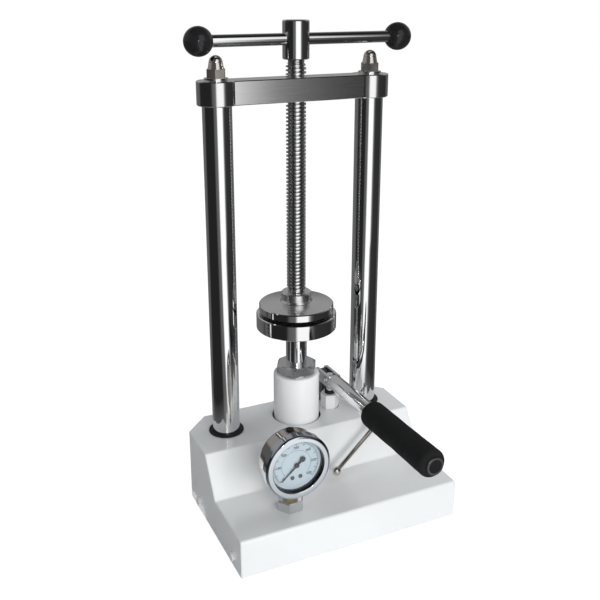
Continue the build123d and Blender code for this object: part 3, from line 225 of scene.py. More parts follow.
bands = add_node(tree, "ShaderNodeValToRGB", {"Fac": around.outputs[0]})
while len(bands.color_ramp.elements) < len(card_levels):
    bands.color_ramp.elements.new(0.5)
for element, (angle, level) in zip(bands.color_ramp.elements, card_levels):
    element.position = (angle + 180) / 360
    element.color = (level, level, level, 1)
flat = add_node(tree, "ShaderNodeCombineXYZ", {"X": spot.outputs["X"], "Y": spot.outputs["Y"]})
radius = add_node(tree, "ShaderNodeVectorMath", {0: flat.outputs[0]}, operation="LENGTH")
near = add_node(
    tree,
    "ShaderNodeMapRange",
    {
        "Value": radius.outputs["Value"],
        "From Min": 0.2,
        "From Max": 0.33,
        "To Min": 0.6,
        "To Max": 0.0,
    },
)
table = add_node(
    tree,
    "ShaderNodeMix",
    {0: near.outputs[0], 6: bands.outputs[0], 7: (0.25, 0.25, 0.25, 1)},
    data_type="RGBA",
)
upward = add_node(
    tree, "ShaderNodeMapRange", {"Value": spot.outputs["Z"], "From Min": 0.5, "From Max": 0.65}
)
depth = add_node(
    tree,
    "ShaderNodeMapRange",
    {"Value": spot.outputs["Y"], "From Min": -0.3, "From Max": 0.3, "To Min": 0.09, "To Max": 0.3},
)
zenith = add_node(
    tree,
    "ShaderNodeMapRange",
    {"Value": spot.outputs["Z"], "From Min": 1.5, "From Max": 1.9, "To Min": 1.0, "To Max": 0.12},
)
overhead = add_node(
    tree, "ShaderNodeMath", {0: depth.outputs[0], 1: zenith.outputs[0]}, operation="MULTIPLY"
)
sky = add_node(
    tree,
    "ShaderNodeMix",
    {0: upward.outputs[0], 6: table.outputs[2], 7: overhead.outputs[0]},
    data_type="RGBA",
)
shine = add_node(tree, "ShaderNodeEmission", {"Color": sky.outputs[2], "Strength": card_strength})
add_node(tree, "ShaderNodeOutputMaterial", {"Surface": shine.outputs[0]})
cards = turned(
    "reflection_cards",
    [
        (0.13, 0.001),
        (1.3, 0.001),
        (1.6, 0.5),
        (1.62, 1.0),
        (1.5, 1.5),
        (1.2, 1.95),
        (0.7, 2.25),
        (0.0, 2.35),
    ],
    segments=144,
    material=card,
)


def light_panel(name, depth, low, high, strength, stops):
    """An upright panel of light across the room, with its brightness across given by stops."""
    panel = bpy.data.materials.new(name)
    panel.use_nodes = True
    tree = panel.node_tree
    tree.nodes.clear()
    place = add_node(tree, "ShaderNodeTexCoord")
    spot = add_node(tree, "ShaderNodeSeparateXYZ", {0: place.outputs["Object"]})
    left = stops[0][0]
    right = stops[-1][0]
    across = add_node(
        tree, "ShaderNodeMapRange", {"Value": spot.outputs["X"], "From Min": left, "From Max": right}
    )
    fall = add_node(tree, "ShaderNodeValToRGB", {"Fac": across.outputs[0]})
    while len(fall.color_ramp.elements) < len(stops):
        fall.color_ramp.elements.new(0.5)
    for element, (x, level) in zip(fall.color_ramp.elements, stops):
        element.position = (x - left) / (right - left)
        element.color = (level, level, level, 1)
    edge = 0.15 * (high - low)
    fade = add_node(
        tree,
        "ShaderNodeMapRange",
        {
            "Value": spot.outputs["Z"],
            "From Min": high - edge,
            "From Max": high,
            "To Min": 1.0,
            "To Max": 0.0,
        },
    )
    mask = add_node(tree, "ShaderNodeMath", {0: fall.outputs[0], 1: fade.outputs[0]}, operation="MULTIPLY")
    empty = add_node(tree, "ShaderNodeBsdfTransparent")
    shine = add_node(tree, "ShaderNodeEmission", {"Strength": strength})
    lit = add_node(
        tree, "ShaderNodeMixShader", {0: mask.outputs[0], 1: empty.outputs[0], 2: shine.outputs[0]}
    )
    add_node(tree, "ShaderNodeOutputMaterial", {"Surface": lit.outputs[0]})
    corners = [(left, depth, low), (right, depth, low), (right, depth, high), (left, depth, high)]
    return mesh_piece(name, corners, [(0, 1, 2, 3)], panel)


soft_box = light_panel(
    "soft_box",
    -0.9,
    0.002,
    1.7,
    card_strength,
    ((-0.31, 0.0), (-0.25, 1.0), (0.2, 1.0), (0.27, 0.5), (0.36, 0.1), (0.5, 0.03), (0.68, 0.0)),
)
side_box = light_panel(
    "side_box", -0.895, 0.64, 1.7, card_strength, ((0.2, 0.0), (0.24, 0.9), (0.5, 0.7), (0.7, 0.0))
)
back_strip = light_panel(
    "back_strip", 1.2, 0.49, 0.70, 0.32, ((-1.0, 0.0), (-0.8, 1.0), (0.9, 1.0), (1.1, 0.0))
)
for surface in (cards, soft_box, side_box, back_strip):
    surface.visible_camera = False
    surface.visible_diffuse = False
    surface.visible_transmission = False
    surface.visible_shadow = False


# Base casing: folded sheet steel with a thick white gloss enamel.
# It has a fine orange peel and a few dull patches. The screws at its foot are painted with it.
def shader_group(name, inputs, outputs):
    """An empty shader group with its sockets, and its input and output nodes."""
    group = bpy.data.node_groups.new(name, "ShaderNodeTree")
    for socket, kind, value in inputs:
        made = group.interface.new_socket(name=socket, in_out="INPUT", socket_type=f"NodeSocket{kind}")
        made.default_value = value
    for socket, kind in outputs:
        group.interface.new_socket(name=socket, in_out="OUTPUT", socket_type=f"NodeSocket{kind}")
    return group, add_node(group, "NodeGroupInput"), group.nodes.new("NodeGroupOutput")


grain, grain_in, grain_out = shader_group(
    "surface_grain",
    (
        ("Fineness", "Float", 700.0),
        ("Patch Size", "Float", 30.0),
        ("Low", "Float", 0.2),
        ("High", "Float", 0.35),
    ),
    (("Roughness", "Float"), ("Height", "Float"), ("Shade", "Float")),
)
place = add_node(grain, "ShaderNodeTexCoord")
fine = add_node(
    grain,
    "ShaderNodeTexNoise",
    {"Vector": place.outputs["Object"], "Scale": grain_in.outputs["Fineness"], "Detail": 3.0},
)
broad = add_node(
    grain,
    "ShaderNodeTexNoise",
    {"Vector": place.outputs["Object"], "Scale": grain_in.outputs["Patch Size"], "Detail": 5.0},
)
dull = add_node(
    grain,
    "ShaderNodeMapRange",
    {
        "Value": broad.outputs["Fac"],
        "From Min": 0.35,
        "From Max": 0.7,
        "To Min": grain_in.outputs["Low"],
        "To Max": grain_in.outputs["High"],
    },
)
grain.links.new(dull.outputs[0], grain_out.inputs["Roughness"])
grain.links.new(fine.outputs["Fac"], grain_out.inputs["Height"])
grain.links.new(broad.outputs["Fac"], grain_out.inputs["Shade"])


def new_finish(name, color, metallic=0.0, roughness=0.5, **sockets):
    """A material with one Principled shader. Constant values sit on its own sockets."""
    material = bpy.data.materials.new(name)
    material.use_nodes = True
    material.node_tree.nodes.clear()
    settings = {"Base Color": (*color, 1), "Metallic": metallic, "Roughness": roughness}
    settings.update({name.replace("_", " "): value for name, value in sockets.items()})
    shader = add_node(material.node_tree, "ShaderNodeBsdfPrincipled", settings)
    add_node(material.node_tree, "ShaderNodeOutputMaterial", {"Surface": shader.outputs[0]})
    return material, material.node_tree, shader


def use_group(tree, group, **values):
    """A shader group placed in a material, with this material's own values."""
    node = add_node(tree, "ShaderNodeGroup", node_tree=group)
    for name, value in values.items():
        node.inputs[name.replace("_", " ")].default_value = value
    return node


def tint(tree, shader, mask, first, second):
    """The base colour runs from the first colour to the second with the mask."""
    mix = add_node(tree, "ShaderNodeMix", {0: mask, 6: (*first, 1), 7: (*second, 1)}, data_type="RGBA")
    tree.links.new(mix.outputs[2], shader.inputs["Base Color"])


def wear(tree, shader, group, first, second, **values):
    """A worn finish: the roughness of a group, and two colours mixed by its shade."""
    node = use_group(tree, group, **values)
    tree.links.new(node.outputs["Roughness"], shader.inputs["Roughness"])
    tint(tree, shader, node.outputs["Shade"], first, second)
    return node


def relief(tree, shader, height, strength, distance):
    """A bump from a height, with its depth in metres."""
    bump = add_node(
        tree, "ShaderNodeBump", {"Height": height, "Strength": strength, "Distance": distance}
    )
    tree.links.new(bump.outputs[0], shader.inputs["Normal"])


def dress(material, *names):
    """Puts a finish on solids of the frame."""
    for name in names:
        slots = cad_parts[name].data.materials
        slots.clear()
        slots.append(material)


enamel, tree, shader = new_finish(
    "white_enamel", (0.86, 0.87, 0.88), roughness=0.25, Coat_Weight=0.35, Coat_Roughness=0.06
)
skin = wear(
    tree,
    shader,
    grain,
    (0.872, 0.886, 0.894),
    (0.882, 0.895, 0.903),
    Fineness=650.0,
    Patch_Size=14.0,
    Low=0.24,
    High=0.27,
)
relief(tree, shader, skin.outputs["Height"], 0.05, 0.0002)
dress(enamel, "base_casing", "casing_screws")

# Cylinder barrel and pump body: turned steel under a fresher, whiter coat of the same enamel.
# The barrel's upper edge is rounded under the paint, and the pump body is a plain hexagon.
fresh_enamel, tree, shader = new_finish(
    "fresh_enamel", (0.94, 0.945, 0.95), roughness=0.22, Coat_Weight=0.35, Coat_Roughness=0.06
)
skin = wear(
    tree,
    shader,
    grain,
    (0.93, 0.938, 0.943),
    (0.95, 0.955, 0.958),
    Fineness=800.0,
    Patch_Size=30.0,
    Low=0.2,
    High=0.25,
)
relief(tree, shader, skin.outputs["Height"], 0.05, 0.0002)
dress(fresh_enamel, "cylinder_barrel", "pump_body")

# Bed plate: a thick steel plate with black paint, seen as a dark line under the casing.
# The lever's fulcrum post is painted with it. The bed's screws, the nuts and the pins are zinc plated.
bed_paint, tree, shader = new_finish("bed_paint", (0.05, 0.05, 0.055), roughness=0.45)
skin = wear(
    tree,
    shader,
    grain,
    (0.03, 0.03, 0.034),
    (0.075, 0.075, 0.08),
    Fineness=900.0,
    Patch_Size=40.0,
    Low=0.38,
    High=0.6,
)
relief(tree, shader, skin.outputs["Height"], 0.2, 0.0004)
dress(bed_paint, "bed_plate", "fulcrum_post")

zinc, tree, shader = new_finish("zinc_plate", (0.62, 0.63, 0.64), metallic=1.0, roughness=0.3)
skin = wear(
    tree,
    shader,
    grain,
    (0.64, 0.66, 0.69),
    (0.76, 0.77, 0.78),
    Fineness=1500.0,
    Patch_Size=90.0,
    Low=0.16,
    High=0.3,
)
relief(tree, shader, skin.outputs["Height"], 0.05, 0.0002)
dress(zinc, "bed_screws", "column_foot_nuts", "feed_nipple", "platen_retainer")
dress(zinc, "hub_pin", "plunger_pin", "fulcrum_pin", "gauge_lock_nut", "gauge_fitting")

# Columns: ground steel bars with hard chrome, polished, with faint wipe marks along their length.
# The ram, the pump's plunger and the spindle's hub have the same chrome.
lines, lines_in, lines_out = shader_group(
    "brushed_lines",
    (("Stretch", "Vector", (40.0, 900.0, 900.0)), ("Low", "Float", 0.2), ("High", "Float", 0.4)),
    (("Shade", "Float"), ("Roughness", "Float")),
)
place = add_node(lines, "ShaderNodeTexCoord")
drawn = add_node(
    lines,
    "ShaderNodeVectorMath",
    {0: place.outputs["Object"], 1: lines_in.outputs["Stretch"]},
    operation="MULTIPLY",
)
streaks = add_node(
    lines,
    "ShaderNodeTexNoise",
    {"Vector": drawn.outputs[0], "Scale": 1.0, "Detail": 4.0, "Roughness": 0.65},
)
spread = add_node(
    lines,
    "ShaderNodeMapRange",
    {
        "Value": streaks.outputs["Fac"],
        "From Min": 0.3,
        "From Max": 0.7,
        "To Min": lines_in.outputs["Low"],
        "To Max": lines_in.outputs["High"],
    },
)
lines.links.new(streaks.outputs["Fac"], lines_out.inputs["Shade"])
lines.links.new(spread.outputs[0], lines_out.inputs["Roughness"])

chrome, tree, shader = new_finish("hard_chrome", (0.8, 0.8, 0.81), metallic=1.0, roughness=0.06)
wear(
    tree,
    shader,
    lines,
    (0.74, 0.745, 0.76),
    (0.86, 0.86, 0.86),
    Stretch=(400.0, 400.0, 30.0),
    Low=0.035,
    High=0.10,
)
dress(chrome, "column_left", "column_right", "ram", "pump_plunger", "spindle_hub")

# Column rings: black rubber grommets in the deck, matte, with a little pale dust.
# The seals of the cylinder and the pump and the gauge's gasket and plug are the same rubber.
rubber, tree, shader = new_finish(
    "black_rubber", (0.015, 0.015, 0.015), roughness=0.6, Specular_IOR_Level=0.3
)
skin = wear(
    tree,
    shader,
    grain,
    (0.009, 0.009, 0.009),
    (0.026, 0.026, 0.027),
    Fineness=1800.0,
    Patch_Size=150.0,
    Low=0.45,
    High=0.75,
)
relief(tree, shader, skin.outputs["Height"], 0.25, 0.0003)
dress(rubber, "column_ring_left", "column_ring_right", "rod_seal", "piston_seal", "pump_seal")
dress(rubber, "gauge_gasket", "gauge_filler_plug")

# Crosshead: a flat steel bar with round ends, brushed along its length and half polished.
# The washers under the cap nuts are plain bright steel.
brushed, tree, shader = new_finish("brushed_bar", (0.68, 0.68, 0.69), metallic=1.0, roughness=0.22)
drawn = wear(
    tree,
    shader,
    lines,
    (0.66, 0.66, 0.67),
    (0.8, 0.8, 0.8),
    Stretch=(22.0, 2200.0, 2200.0),
    Low=0.09,
    High=0.17,
)
relief(tree, shader, drawn.outputs["Shade"], 0.03, 0.0002)
dress(brushed, "crosshead", "column_washers")

# Cap nuts: domed hexagon nuts on the columns' studs, nickel plated, warmer and darker than the columns.
# Their domes are polished and their flats keep a milled grain. The release rod and its ball match them.
flats_low = 0.469
flats_high = 0.4781
flats_dulling = 0.3

nickel, tree, shader = new_finish("nickel_plate", (0.66, 0.63, 0.6), metallic=1.0, roughness=0.12)
skin = use_group(tree, grain, Fineness=1200.0, Patch_Size=90.0, Low=0.06, High=0.16)
place = add_node(tree, "ShaderNodeTexCoord")
spot = add_node(tree, "ShaderNodeSeparateXYZ", {0: place.outputs["Object"]})
below = add_node(tree, "ShaderNodeMath", {0: spot.outputs["Z"], 1: flats_high}, operation="LESS_THAN")
above = add_node(tree, "ShaderNodeMath", {0: spot.outputs["Z"], 1: flats_low}, operation="GREATER_THAN")
milled = add_node(
    tree, "ShaderNodeMath", {0: below.outputs[0], 1: above.outputs[0]}, operation="MULTIPLY"
)
rubbed = add_node(
    tree,
    "ShaderNodeMath",
    {0: milled.outputs[0], 1: flats_dulling, 2: skin.outputs["Roughness"]},
    operation="MULTIPLY_ADD",
)
tree.links.new(rubbed.outputs[0], shader.inputs["Roughness"])
tint(tree, shader, skin.outputs["Shade"], (0.54, 0.505, 0.47), (0.68, 0.65, 0.61))
relief(tree, shader, skin.outputs["Height"], 0.03, 0.0002)
dress(nickel, "column_cap_nuts", "release_rod", "release_ball")

# Pressing discs: turned steel, the rims polished, the faces with fine concentric tool marks.
# The lower one sits on the ram and the upper one hangs on the spindle's tip.
rings, rings_in, rings_out = shader_group(
    "turned_rings",
    (("Fineness", "Float", 2500.0), ("Low", "Float", 0.12), ("High", "Float", 0.3)),
    (("Shade", "Float"), ("Roughness", "Float"), ("Radius", "Float")),
)
place = add_node(rings, "ShaderNodeTexCoord")
spot = add_node(rings, "ShaderNodeSeparateXYZ", {0: place.outputs["Object"]})
flat = add_node(rings, "ShaderNodeCombineXYZ", {"X": spot.outputs["X"], "Y": spot.outputs["Y"]})
radius = add_node(rings, "ShaderNodeVectorMath", {0: flat.outputs[0]}, operation="LENGTH")
along = add_node(
    rings, "ShaderNodeMath", {0: radius.outputs["Value"], 1: spot.outputs["Z"]}, operation="ADD"
)
cut = add_node(
    rings,
    "ShaderNodeTexNoise",
    {"W": along.outputs[0], "Scale": rings_in.outputs["Fineness"], "Detail": 3.0},
    noise_dimensions="1D",
)
spread = add_node(
    rings,
    "ShaderNodeMapRange",
    {
        "Value": cut.outputs["Fac"],
        "From Min": 0.3,
        "From Max": 0.7,
        "To Min": rings_in.outputs["Low"],
        "To Max": rings_in.outputs["High"],
    },
)
rings.links.new(cut.outputs["Fac"], rings_out.inputs["Shade"])
rings.links.new(spread.outputs[0], rings_out.inputs["Roughness"])
rings.links.new(radius.outputs["Value"], rings_out.inputs["Radius"])

polish_start = 0.0402
polish_end = 0.0408
turned_steel, tree, shader = new_finish("turned_steel", (0.74, 0.74, 0.75), metallic=1.0, roughness=0.12)
cut = use_group(tree, rings, Fineness=2600.0, Low=0.75, High=1.25)
polish = add_node(
    tree,
    "ShaderNodeMapRange",
    {
        "Value": cut.outputs["Radius"],
        "From Min": polish_start,
        "From Max": polish_end,
        "To Min": 0.24,
        "To Max": 0.07,
    },
)
worn = add_node(
    tree, "ShaderNodeMath", {0: cut.outputs["Roughness"], 1: polish.outputs[0]}, operation="MULTIPLY"
)
tree.links.new(worn.outputs[0], shader.inputs["Roughness"])
tint(tree, shader, cut.outputs["Shade"], (0.66, 0.66, 0.67), (0.84, 0.84, 0.84))
relief(tree, shader, cut.outputs["Shade"], 0.05, 0.0002)
dress(turned_steel, "lower_platen", "upper_platen")

# Gland nut, piston and the hidden steel blocks: machined grey steel with fine tool marks and an oily film.
# The release valve's bonnet and spindle are the same steel.
machined, tree, shader = new_finish("machined_steel", (0.55, 0.56, 0.58), metallic=1.0, roughness=0.3)
cut = wear(
    tree,
    shader,
    rings,
    (0.54, 0.55, 0.57),
    (0.68, 0.69, 0.7),
    Fineness=1900.0,
    Low=0.16,
    High=0.26,
)
relief(tree, shader, cut.outputs["Shade"], 0.04, 0.0002)
dress(machined, "gland_nut", "piston", "hydraulic_block", "oil_tank", "valve_bonnet", "valve_spindle")

# Spindle: a right-hand trapezoidal thread, rolled bright, its root darkened with painted shade.
# The thread winds round a plain core and runs out into the neck below and the hub above.
thread_crest = 0.0105
thread_root = 0.00825
thread_pitch = 0.004
thread_low = 0.235
thread_high = 0.4845
thread_turns = (thread_high - thread_low - thread_pitch) / thread_pitch
thread_steps = 2880
flank_heights = ((0.0, 0.0), (0.25, 0.366), (0.5, 0.5165), (0.75, 0.8495), (1.0, 1.0))
flank_radii = ((0.0, 1.0), (0.25, 1.0), (0.5, 0.0), (0.75, 0.0), (1.0, 1.0))
core_bottom = 0.2193
core_top = 0.4965
tip_radius = 0.007
groove_radius = 0.0055
neck_radius = 0.00925
stud_radius = 0.008

thread_steel, tree, shader = new_finish("thread_steel", (0.6, 0.6, 0.61), metallic=1.0, roughness=0.18)
cut = use_group(tree, rings, Fineness=1800.0, Low=0.12, High=0.26)
tree.links.new(cut.outputs["Roughness"], shader.inputs["Roughness"])
place = add_node(tree, "ShaderNodeTexCoord")
spot = add_node(tree, "ShaderNodeSeparateXYZ", {0: place.outputs["Object"]})
flat = add_node(tree, "ShaderNodeCombineXYZ", {"X": spot.outputs["X"], "Y": spot.outputs["Y"]})
radius = add_node(tree, "ShaderNodeVectorMath", {0: flat.outputs[0]}, operation="LENGTH")
# Painted shade: the base colour darkens from the thread's crest down into its root.
depth = add_node(
    tree,
    "ShaderNodeMapRange",
    {"Value": radius.outputs["Value"], "From Min": thread_root, "From Max": thread_crest},
)
tint(tree, shader, depth.outputs[0], (0.5, 0.5, 0.51), (0.8, 0.8, 0.8))

thread_tree = bpy.data.node_groups.new("screw_thread", "GeometryNodeTree")
thread_tree.interface.new_socket(name="Geometry", in_out="OUTPUT", socket_type="NodeSocketGeometry")
thread_sizes = {
    "Crest Radius": thread_crest,
    "Root Radius": thread_root,
    "Pitch": thread_pitch,
    "Turns": thread_turns,
    "Start Height": thread_low,
}
for name, value in thread_sizes.items():
    socket = thread_tree.interface.new_socket(name=name, in_out="INPUT", socket_type="NodeSocketFloat")
    socket.default_value = value
sizes = add_node(thread_tree, "NodeGroupInput").outputs


def figure(tree, operation, first, second=0.0, third=0.0):
    """One arithmetic step of a node tree."""
    return add_node(tree, "ShaderNodeMath", {0: first, 1: second, 2: third}, operation=operation).outputs[0]


strip = add_node(
    thread_tree,
    "GeometryNodeMeshGrid",
    {"Size X": 1.0, "Size Y": 1.0, "Vertices X": thread_steps + 1, "Vertices Y": len(flank_radii)},
)
spot = add_node(
    thread_tree, "ShaderNodeSeparateXYZ", {0: add_node(thread_tree, "GeometryNodeInputPosition").outputs[0]}
)
wound = figure(thread_tree, "MULTIPLY", figure(thread_tree, "ADD", spot.outputs["X"], 0.5), sizes["Turns"])
across = figure(thread_tree, "ADD", spot.outputs["Y"], 0.5)
profile_steps = []
for stops in (flank_heights, flank_radii):
    curve = add_node(thread_tree, "ShaderNodeFloatCurve", {"Value": across})
    points = curve.mapping.curves[0].points
    while len(points) < len(stops):
        points.new(0.5, 0.5)
    for point, (x, y) in zip(points, stops):
        point.location = (x, y)
        point.handle_type = "VECTOR"
    curve.mapping.update()
    profile_steps.append(curve.outputs[0])
run_out = figure(
    thread_tree,
    "MINIMUM",
    figure(thread_tree, "MINIMUM", wound, figure(thread_tree, "SUBTRACT", sizes["Turns"], wound)),
    1.0,
)
ridge = figure(thread_tree, "SUBTRACT", sizes["Crest Radius"], sizes["Root Radius"])
radius = figure(
    thread_tree,
    "MULTIPLY_ADD",
    figure(thread_tree, "MULTIPLY", ridge, run_out),
    profile_steps[1],
    sizes["Root Radius"],
)
angle = figure(thread_tree, "MULTIPLY", wound, math.tau)
height = figure(
    thread_tree,
    "MULTIPLY_ADD",
    figure(thread_tree, "ADD", wound, profile_steps[0]),
    sizes["Pitch"],
    sizes["Start Height"],
)
placed = add_node(
    thread_tree,
    "ShaderNodeCombineXYZ",
    {
        "X": figure(thread_tree, "MULTIPLY", radius, figure(thread_tree, "COSINE", angle)),
        "Y": figure(thread_tree, "MULTIPLY", radius, figure(thread_tree, "SINE", angle)),
        "Z": height,
    },
)
wrapped = add_node(
    thread_tree,
    "GeometryNodeSetPosition",
    {"Geometry": strip.outputs["Mesh"], "Position": placed.outputs[0]},
)
welded = add_node(
    thread_tree, "GeometryNodeMergeByDistance", {"Geometry": wrapped.outputs[0], "Distance": 0.000001}
)
real = add_node(thread_tree, "GeometryNodeRealizeInstances", {"Geometry": welded.outputs[0]})
coated = add_node(
    thread_tree, "GeometryNodeSetMaterial", {"Geometry": real.outputs[0], "Material": thread_steel}
)
add_node(thread_tree, "NodeGroupOutput", {"Geometry": coated.outputs[0]})


def grown(name, tree, **sizes):
    """A plain mesh piece grown by a geometry tree, with its inputs set by their identifiers."""
    carrier = bpy.data.objects.new(name, bpy.data.meshes.new(name))
    scene.collection.objects.link(carrier)
    modifier = carrier.modifiers.new(name, "NODES")
    modifier.node_group = tree
    for item in tree.interface.items_tree:
        if item.in_out == "INPUT" and item.name in sizes:
            modifier[item.identifier] = sizes[item.name]
    evaluated = carrier.evaluated_get(bpy.context.evaluated_depsgraph_get())
    mesh = bpy.data.meshes.new_from_object(evaluated)
    carrier.modifiers.remove(modifier)
    carrier.data = mesh
    return carrier


spindle_thread = grown("spindle_thread", thread_tree)
spindle_thread.data.shade_smooth()
spindle_thread.data.set_sharp_from_angle(angle=math.radians(25))
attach(spindle_thread, "spindle")
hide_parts("spindle")

spindle_core = turned(
    "spindle_core",
    [
        (0, core_bottom),
        (tip_radius - 0.0002, core_bottom),
        (tip_radius, 0.2197),
        (tip_radius, 0.2277),
        (groove_radius, 0.2277),
        (groove_radius, 0.2323),
        (tip_radius, 0.2323),
        (tip_radius, 0.2348),
        (neck_radius - 0.0002, 0.2348),
        (neck_radius, 0.2350),
        (neck_radius, 0.238),
        (neck_radius - 0.0003, 0.2385),
        (thread_root, 0.2391),
        (thread_root, thread_high),
        (stud_radius, thread_high),
        (stud_radius, 0.4962),
        (stud_radius - 0.0004, core_top),
        (0, core_top),
    ],
    segments=72,
    material=thread_steel,
)
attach(spindle_core, "spindle")

# Cross bar: a chrome rod that slides through the spindle's hub, wiped along its length.
# The handle tube and the lever's fork have the same chrome.
bar_chrome, tree, shader = new_finish("bar_chrome", (0.8, 0.8, 0.81), metallic=1.0, roughness=0.07)
wear(
    tree,
    shader,
    lines,
    (0.74, 0.745, 0.755),
    (0.86, 0.86, 0.86),
    Stretch=(30.0, 30.0, 500.0),
    Low=0.04,
    High=0.12,
)
dress(bar_chrome, "cross_bar", "handle_tube", "lever_fork")

# Ball knobs: black phenolic balls, moulded and polished, with a few faint dust specks.
# The end plug of the handle is moulded from the same black plastic.
phenolic, tree, shader = new_finish(
    "black_phenolic", (0.012, 0.012, 0.013), roughness=0.12, Specular_IOR_Level=0.3
)
skin = wear(
    tree,
    shader,
    grain,
    (0.008, 0.008, 0.009),
    (0.022, 0.022, 0.023),
    Fineness=1600.0,
    Patch_Size=60.0,
    Low=0.08,
    High=0.22,
)
relief(tree, shader, skin.outputs["Height"], 0.03, 0.0002)
dress(phenolic, "knob_left", "knob_right", "handle_plug")

# Foam grip: a sleeve of black cellular rubber, pushed on the handle tube.
# Its ends are rounded, its skin is open-celled and matte, and it bulges a little along its length.
grip_radius = 0.0145
grip_bore = 0.00905
grip_rear = -0.116
grip_front = -0.235
grip_rounding = 0.0052
grip_slack = 0.0002
grip_swells = ((0.00012, 9.0), (0.00008, 23.0))
bend_steps = 8
length_steps = 24
fulcrum_place = (0.044, 0.021, 0.1176)
lever_tilt = 1.5

foam, tree, shader = new_finish("foam_rubber", (0.01, 0.01, 0.011), roughness=0.85, Specular_IOR_Level=0.15)
place = add_node(tree, "ShaderNodeTexCoord")
cells = add_node(tree, "ShaderNodeTexVoronoi", {"Vector": place.outputs["Object"], "Scale": 1500.0})
skin = use_group(tree, grain, Fineness=420.0, Patch_Size=45.0, Low=0.78, High=0.95)
tree.links.new(skin.outputs["Roughness"], shader.inputs["Roughness"])
pores = add_node(
    tree, "ShaderNodeMath", {0: cells.outputs["Distance"], 1: skin.outputs["Height"]}, operation="ADD"
)
tint(tree, shader, pores.outputs[0], (0.006, 0.006, 0.0065), (0.017, 0.017, 0.018))
relief(tree, shader, pores.outputs[0], 0.5, 0.0004)

grip_profile = [(grip_bore, grip_rear), (grip_radius - grip_rounding, grip_rear)]
for step in range(1, bend_steps + 1):
    bend = math.pi / 2 * step / bend_steps
    grip_profile.append(
        (
            grip_radius - grip_rounding * (1 - math.sin(bend)),
            grip_rear - grip_rounding * (1 - math.cos(bend)),
        )
    )
for step in range(1, length_steps):
    share = step / length_steps
    swell = sum(size * math.sin(waves * share) for size, waves in grip_swells)
    grip_profile.append(
        (
            grip_radius - grip_slack + swell,
            grip_rear - grip_rounding - share * (grip_rear - grip_front - 2 * grip_rounding),
        )
    )
for step in range(bend_steps + 1):
    bend = math.pi / 2 * step / bend_steps
    grip_profile.append(
        (
            grip_radius - grip_rounding * (1 - math.cos(bend)),
            grip_front + grip_rounding * (1 - math.sin(bend)),
        )
    )
grip_profile.append((grip_bore, grip_front))
grip_profile.append((grip_bore, grip_rear))
lever_axis = Matrix.Translation(fulcrum_place) @ Matrix.Rotation(math.radians(-90 - lever_tilt), 4, "X")
grip = turned("foam_grip", grip_profile, segments=96, material=foam, smooth_angle=60, axis=lever_axis)
bm = bmesh.new()
bm.from_mesh(grip.data)
bmesh.ops.remove_doubles(bm, verts=bm.verts, dist=0.000001)
bmesh.ops.recalc_face_normals(bm, faces=bm.faces)
bm.to_mesh(grip.data)
bm.free()
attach(grip, "handle")
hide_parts("handle_grip")

# Pipes and the gauge's works: brass, machined and a little tarnished.
# Only the gauge's stem shows, between the case and the hexagon fitting.
brass, tree, shader = new_finish("brass", (0.72, 0.56, 0.28), metallic=1.0, roughness=0.25)
skin = wear(
    tree,
    shader,
    grain,
    (0.44, 0.34, 0.19),
    (0.6, 0.48, 0.28),
    Fineness=1300.0,
    Patch_Size=80.0,
    Low=0.14,
    High=0.28,
)
relief(tree, shader, skin.outputs["Height"], 0.08, 0.0002)
dress(brass, "gauge_stem", "gauge_movement", "bourdon_tube", "suction_pipe", "pressure_pipe")

# Gauge case and bezel: pressed steel with bright chrome. The case is a mirror, and its base colour is
# tinted warm and dark: a painted warm reflection.
# The bezel is cooler in tone; inside its lip its colour turns near black, a painted dark reflection of the
# gasket.
# It is crimped over the case and holds the window.
gauge_x = -0.0565
gauge_z = 0.099
bezel_bore = 0.0277

# Painted reflection: the case's base colour is tinted warm and dark.
gauge_chrome, tree, shader = new_finish("gauge_chrome", (0.76, 0.74, 0.71), metallic=1.0, roughness=0.07)
skin = wear(
    tree,
    shader,
    grain,
    (0.52, 0.48, 0.44),
    (0.72, 0.7, 0.67),
    Fineness=1100.0,
    Patch_Size=70.0,
    Low=0.04,
    High=0.12,
)
relief(tree, shader, skin.outputs["Height"], 0.03, 0.0002)
dress(gauge_chrome, "gauge_case")

bezel_chrome, tree, shader = new_finish("bezel_chrome", (0.58, 0.62, 0.67), metallic=1.0, roughness=0.07)
skin = use_group(tree, grain, Fineness=1100.0, Patch_Size=70.0, Low=0.04, High=0.11)
tree.links.new(skin.outputs["Roughness"], shader.inputs["Roughness"])
place = add_node(tree, "ShaderNodeTexCoord")
spot = add_node(tree, "ShaderNodeSeparateXYZ", {0: place.outputs["Object"]})
flat = add_node(tree, "ShaderNodeCombineXYZ", {"X": spot.outputs["X"], "Z": spot.outputs["Z"]})
radius = add_node(
    tree, "ShaderNodeVectorMath", {0: flat.outputs[0], 1: (gauge_x, 0.0, gauge_z)}, operation="DISTANCE"
)
# Painted reflection: inside the lip's bore the base colour turns near black, for the dark gasket the lip
# mirrors.
inside = add_node(
    tree, "ShaderNodeMath", {0: radius.outputs["Value"], 1: bezel_bore}, operation="LESS_THAN"
)
tint(tree, shader, inside.outputs[0], (0.58, 0.62, 0.67), (0.02, 0.02, 0.022))
relief(tree, shader, skin.outputs["Height"], 0.03, 0.0002)
dress(bezel_chrome, "gauge_bezel")

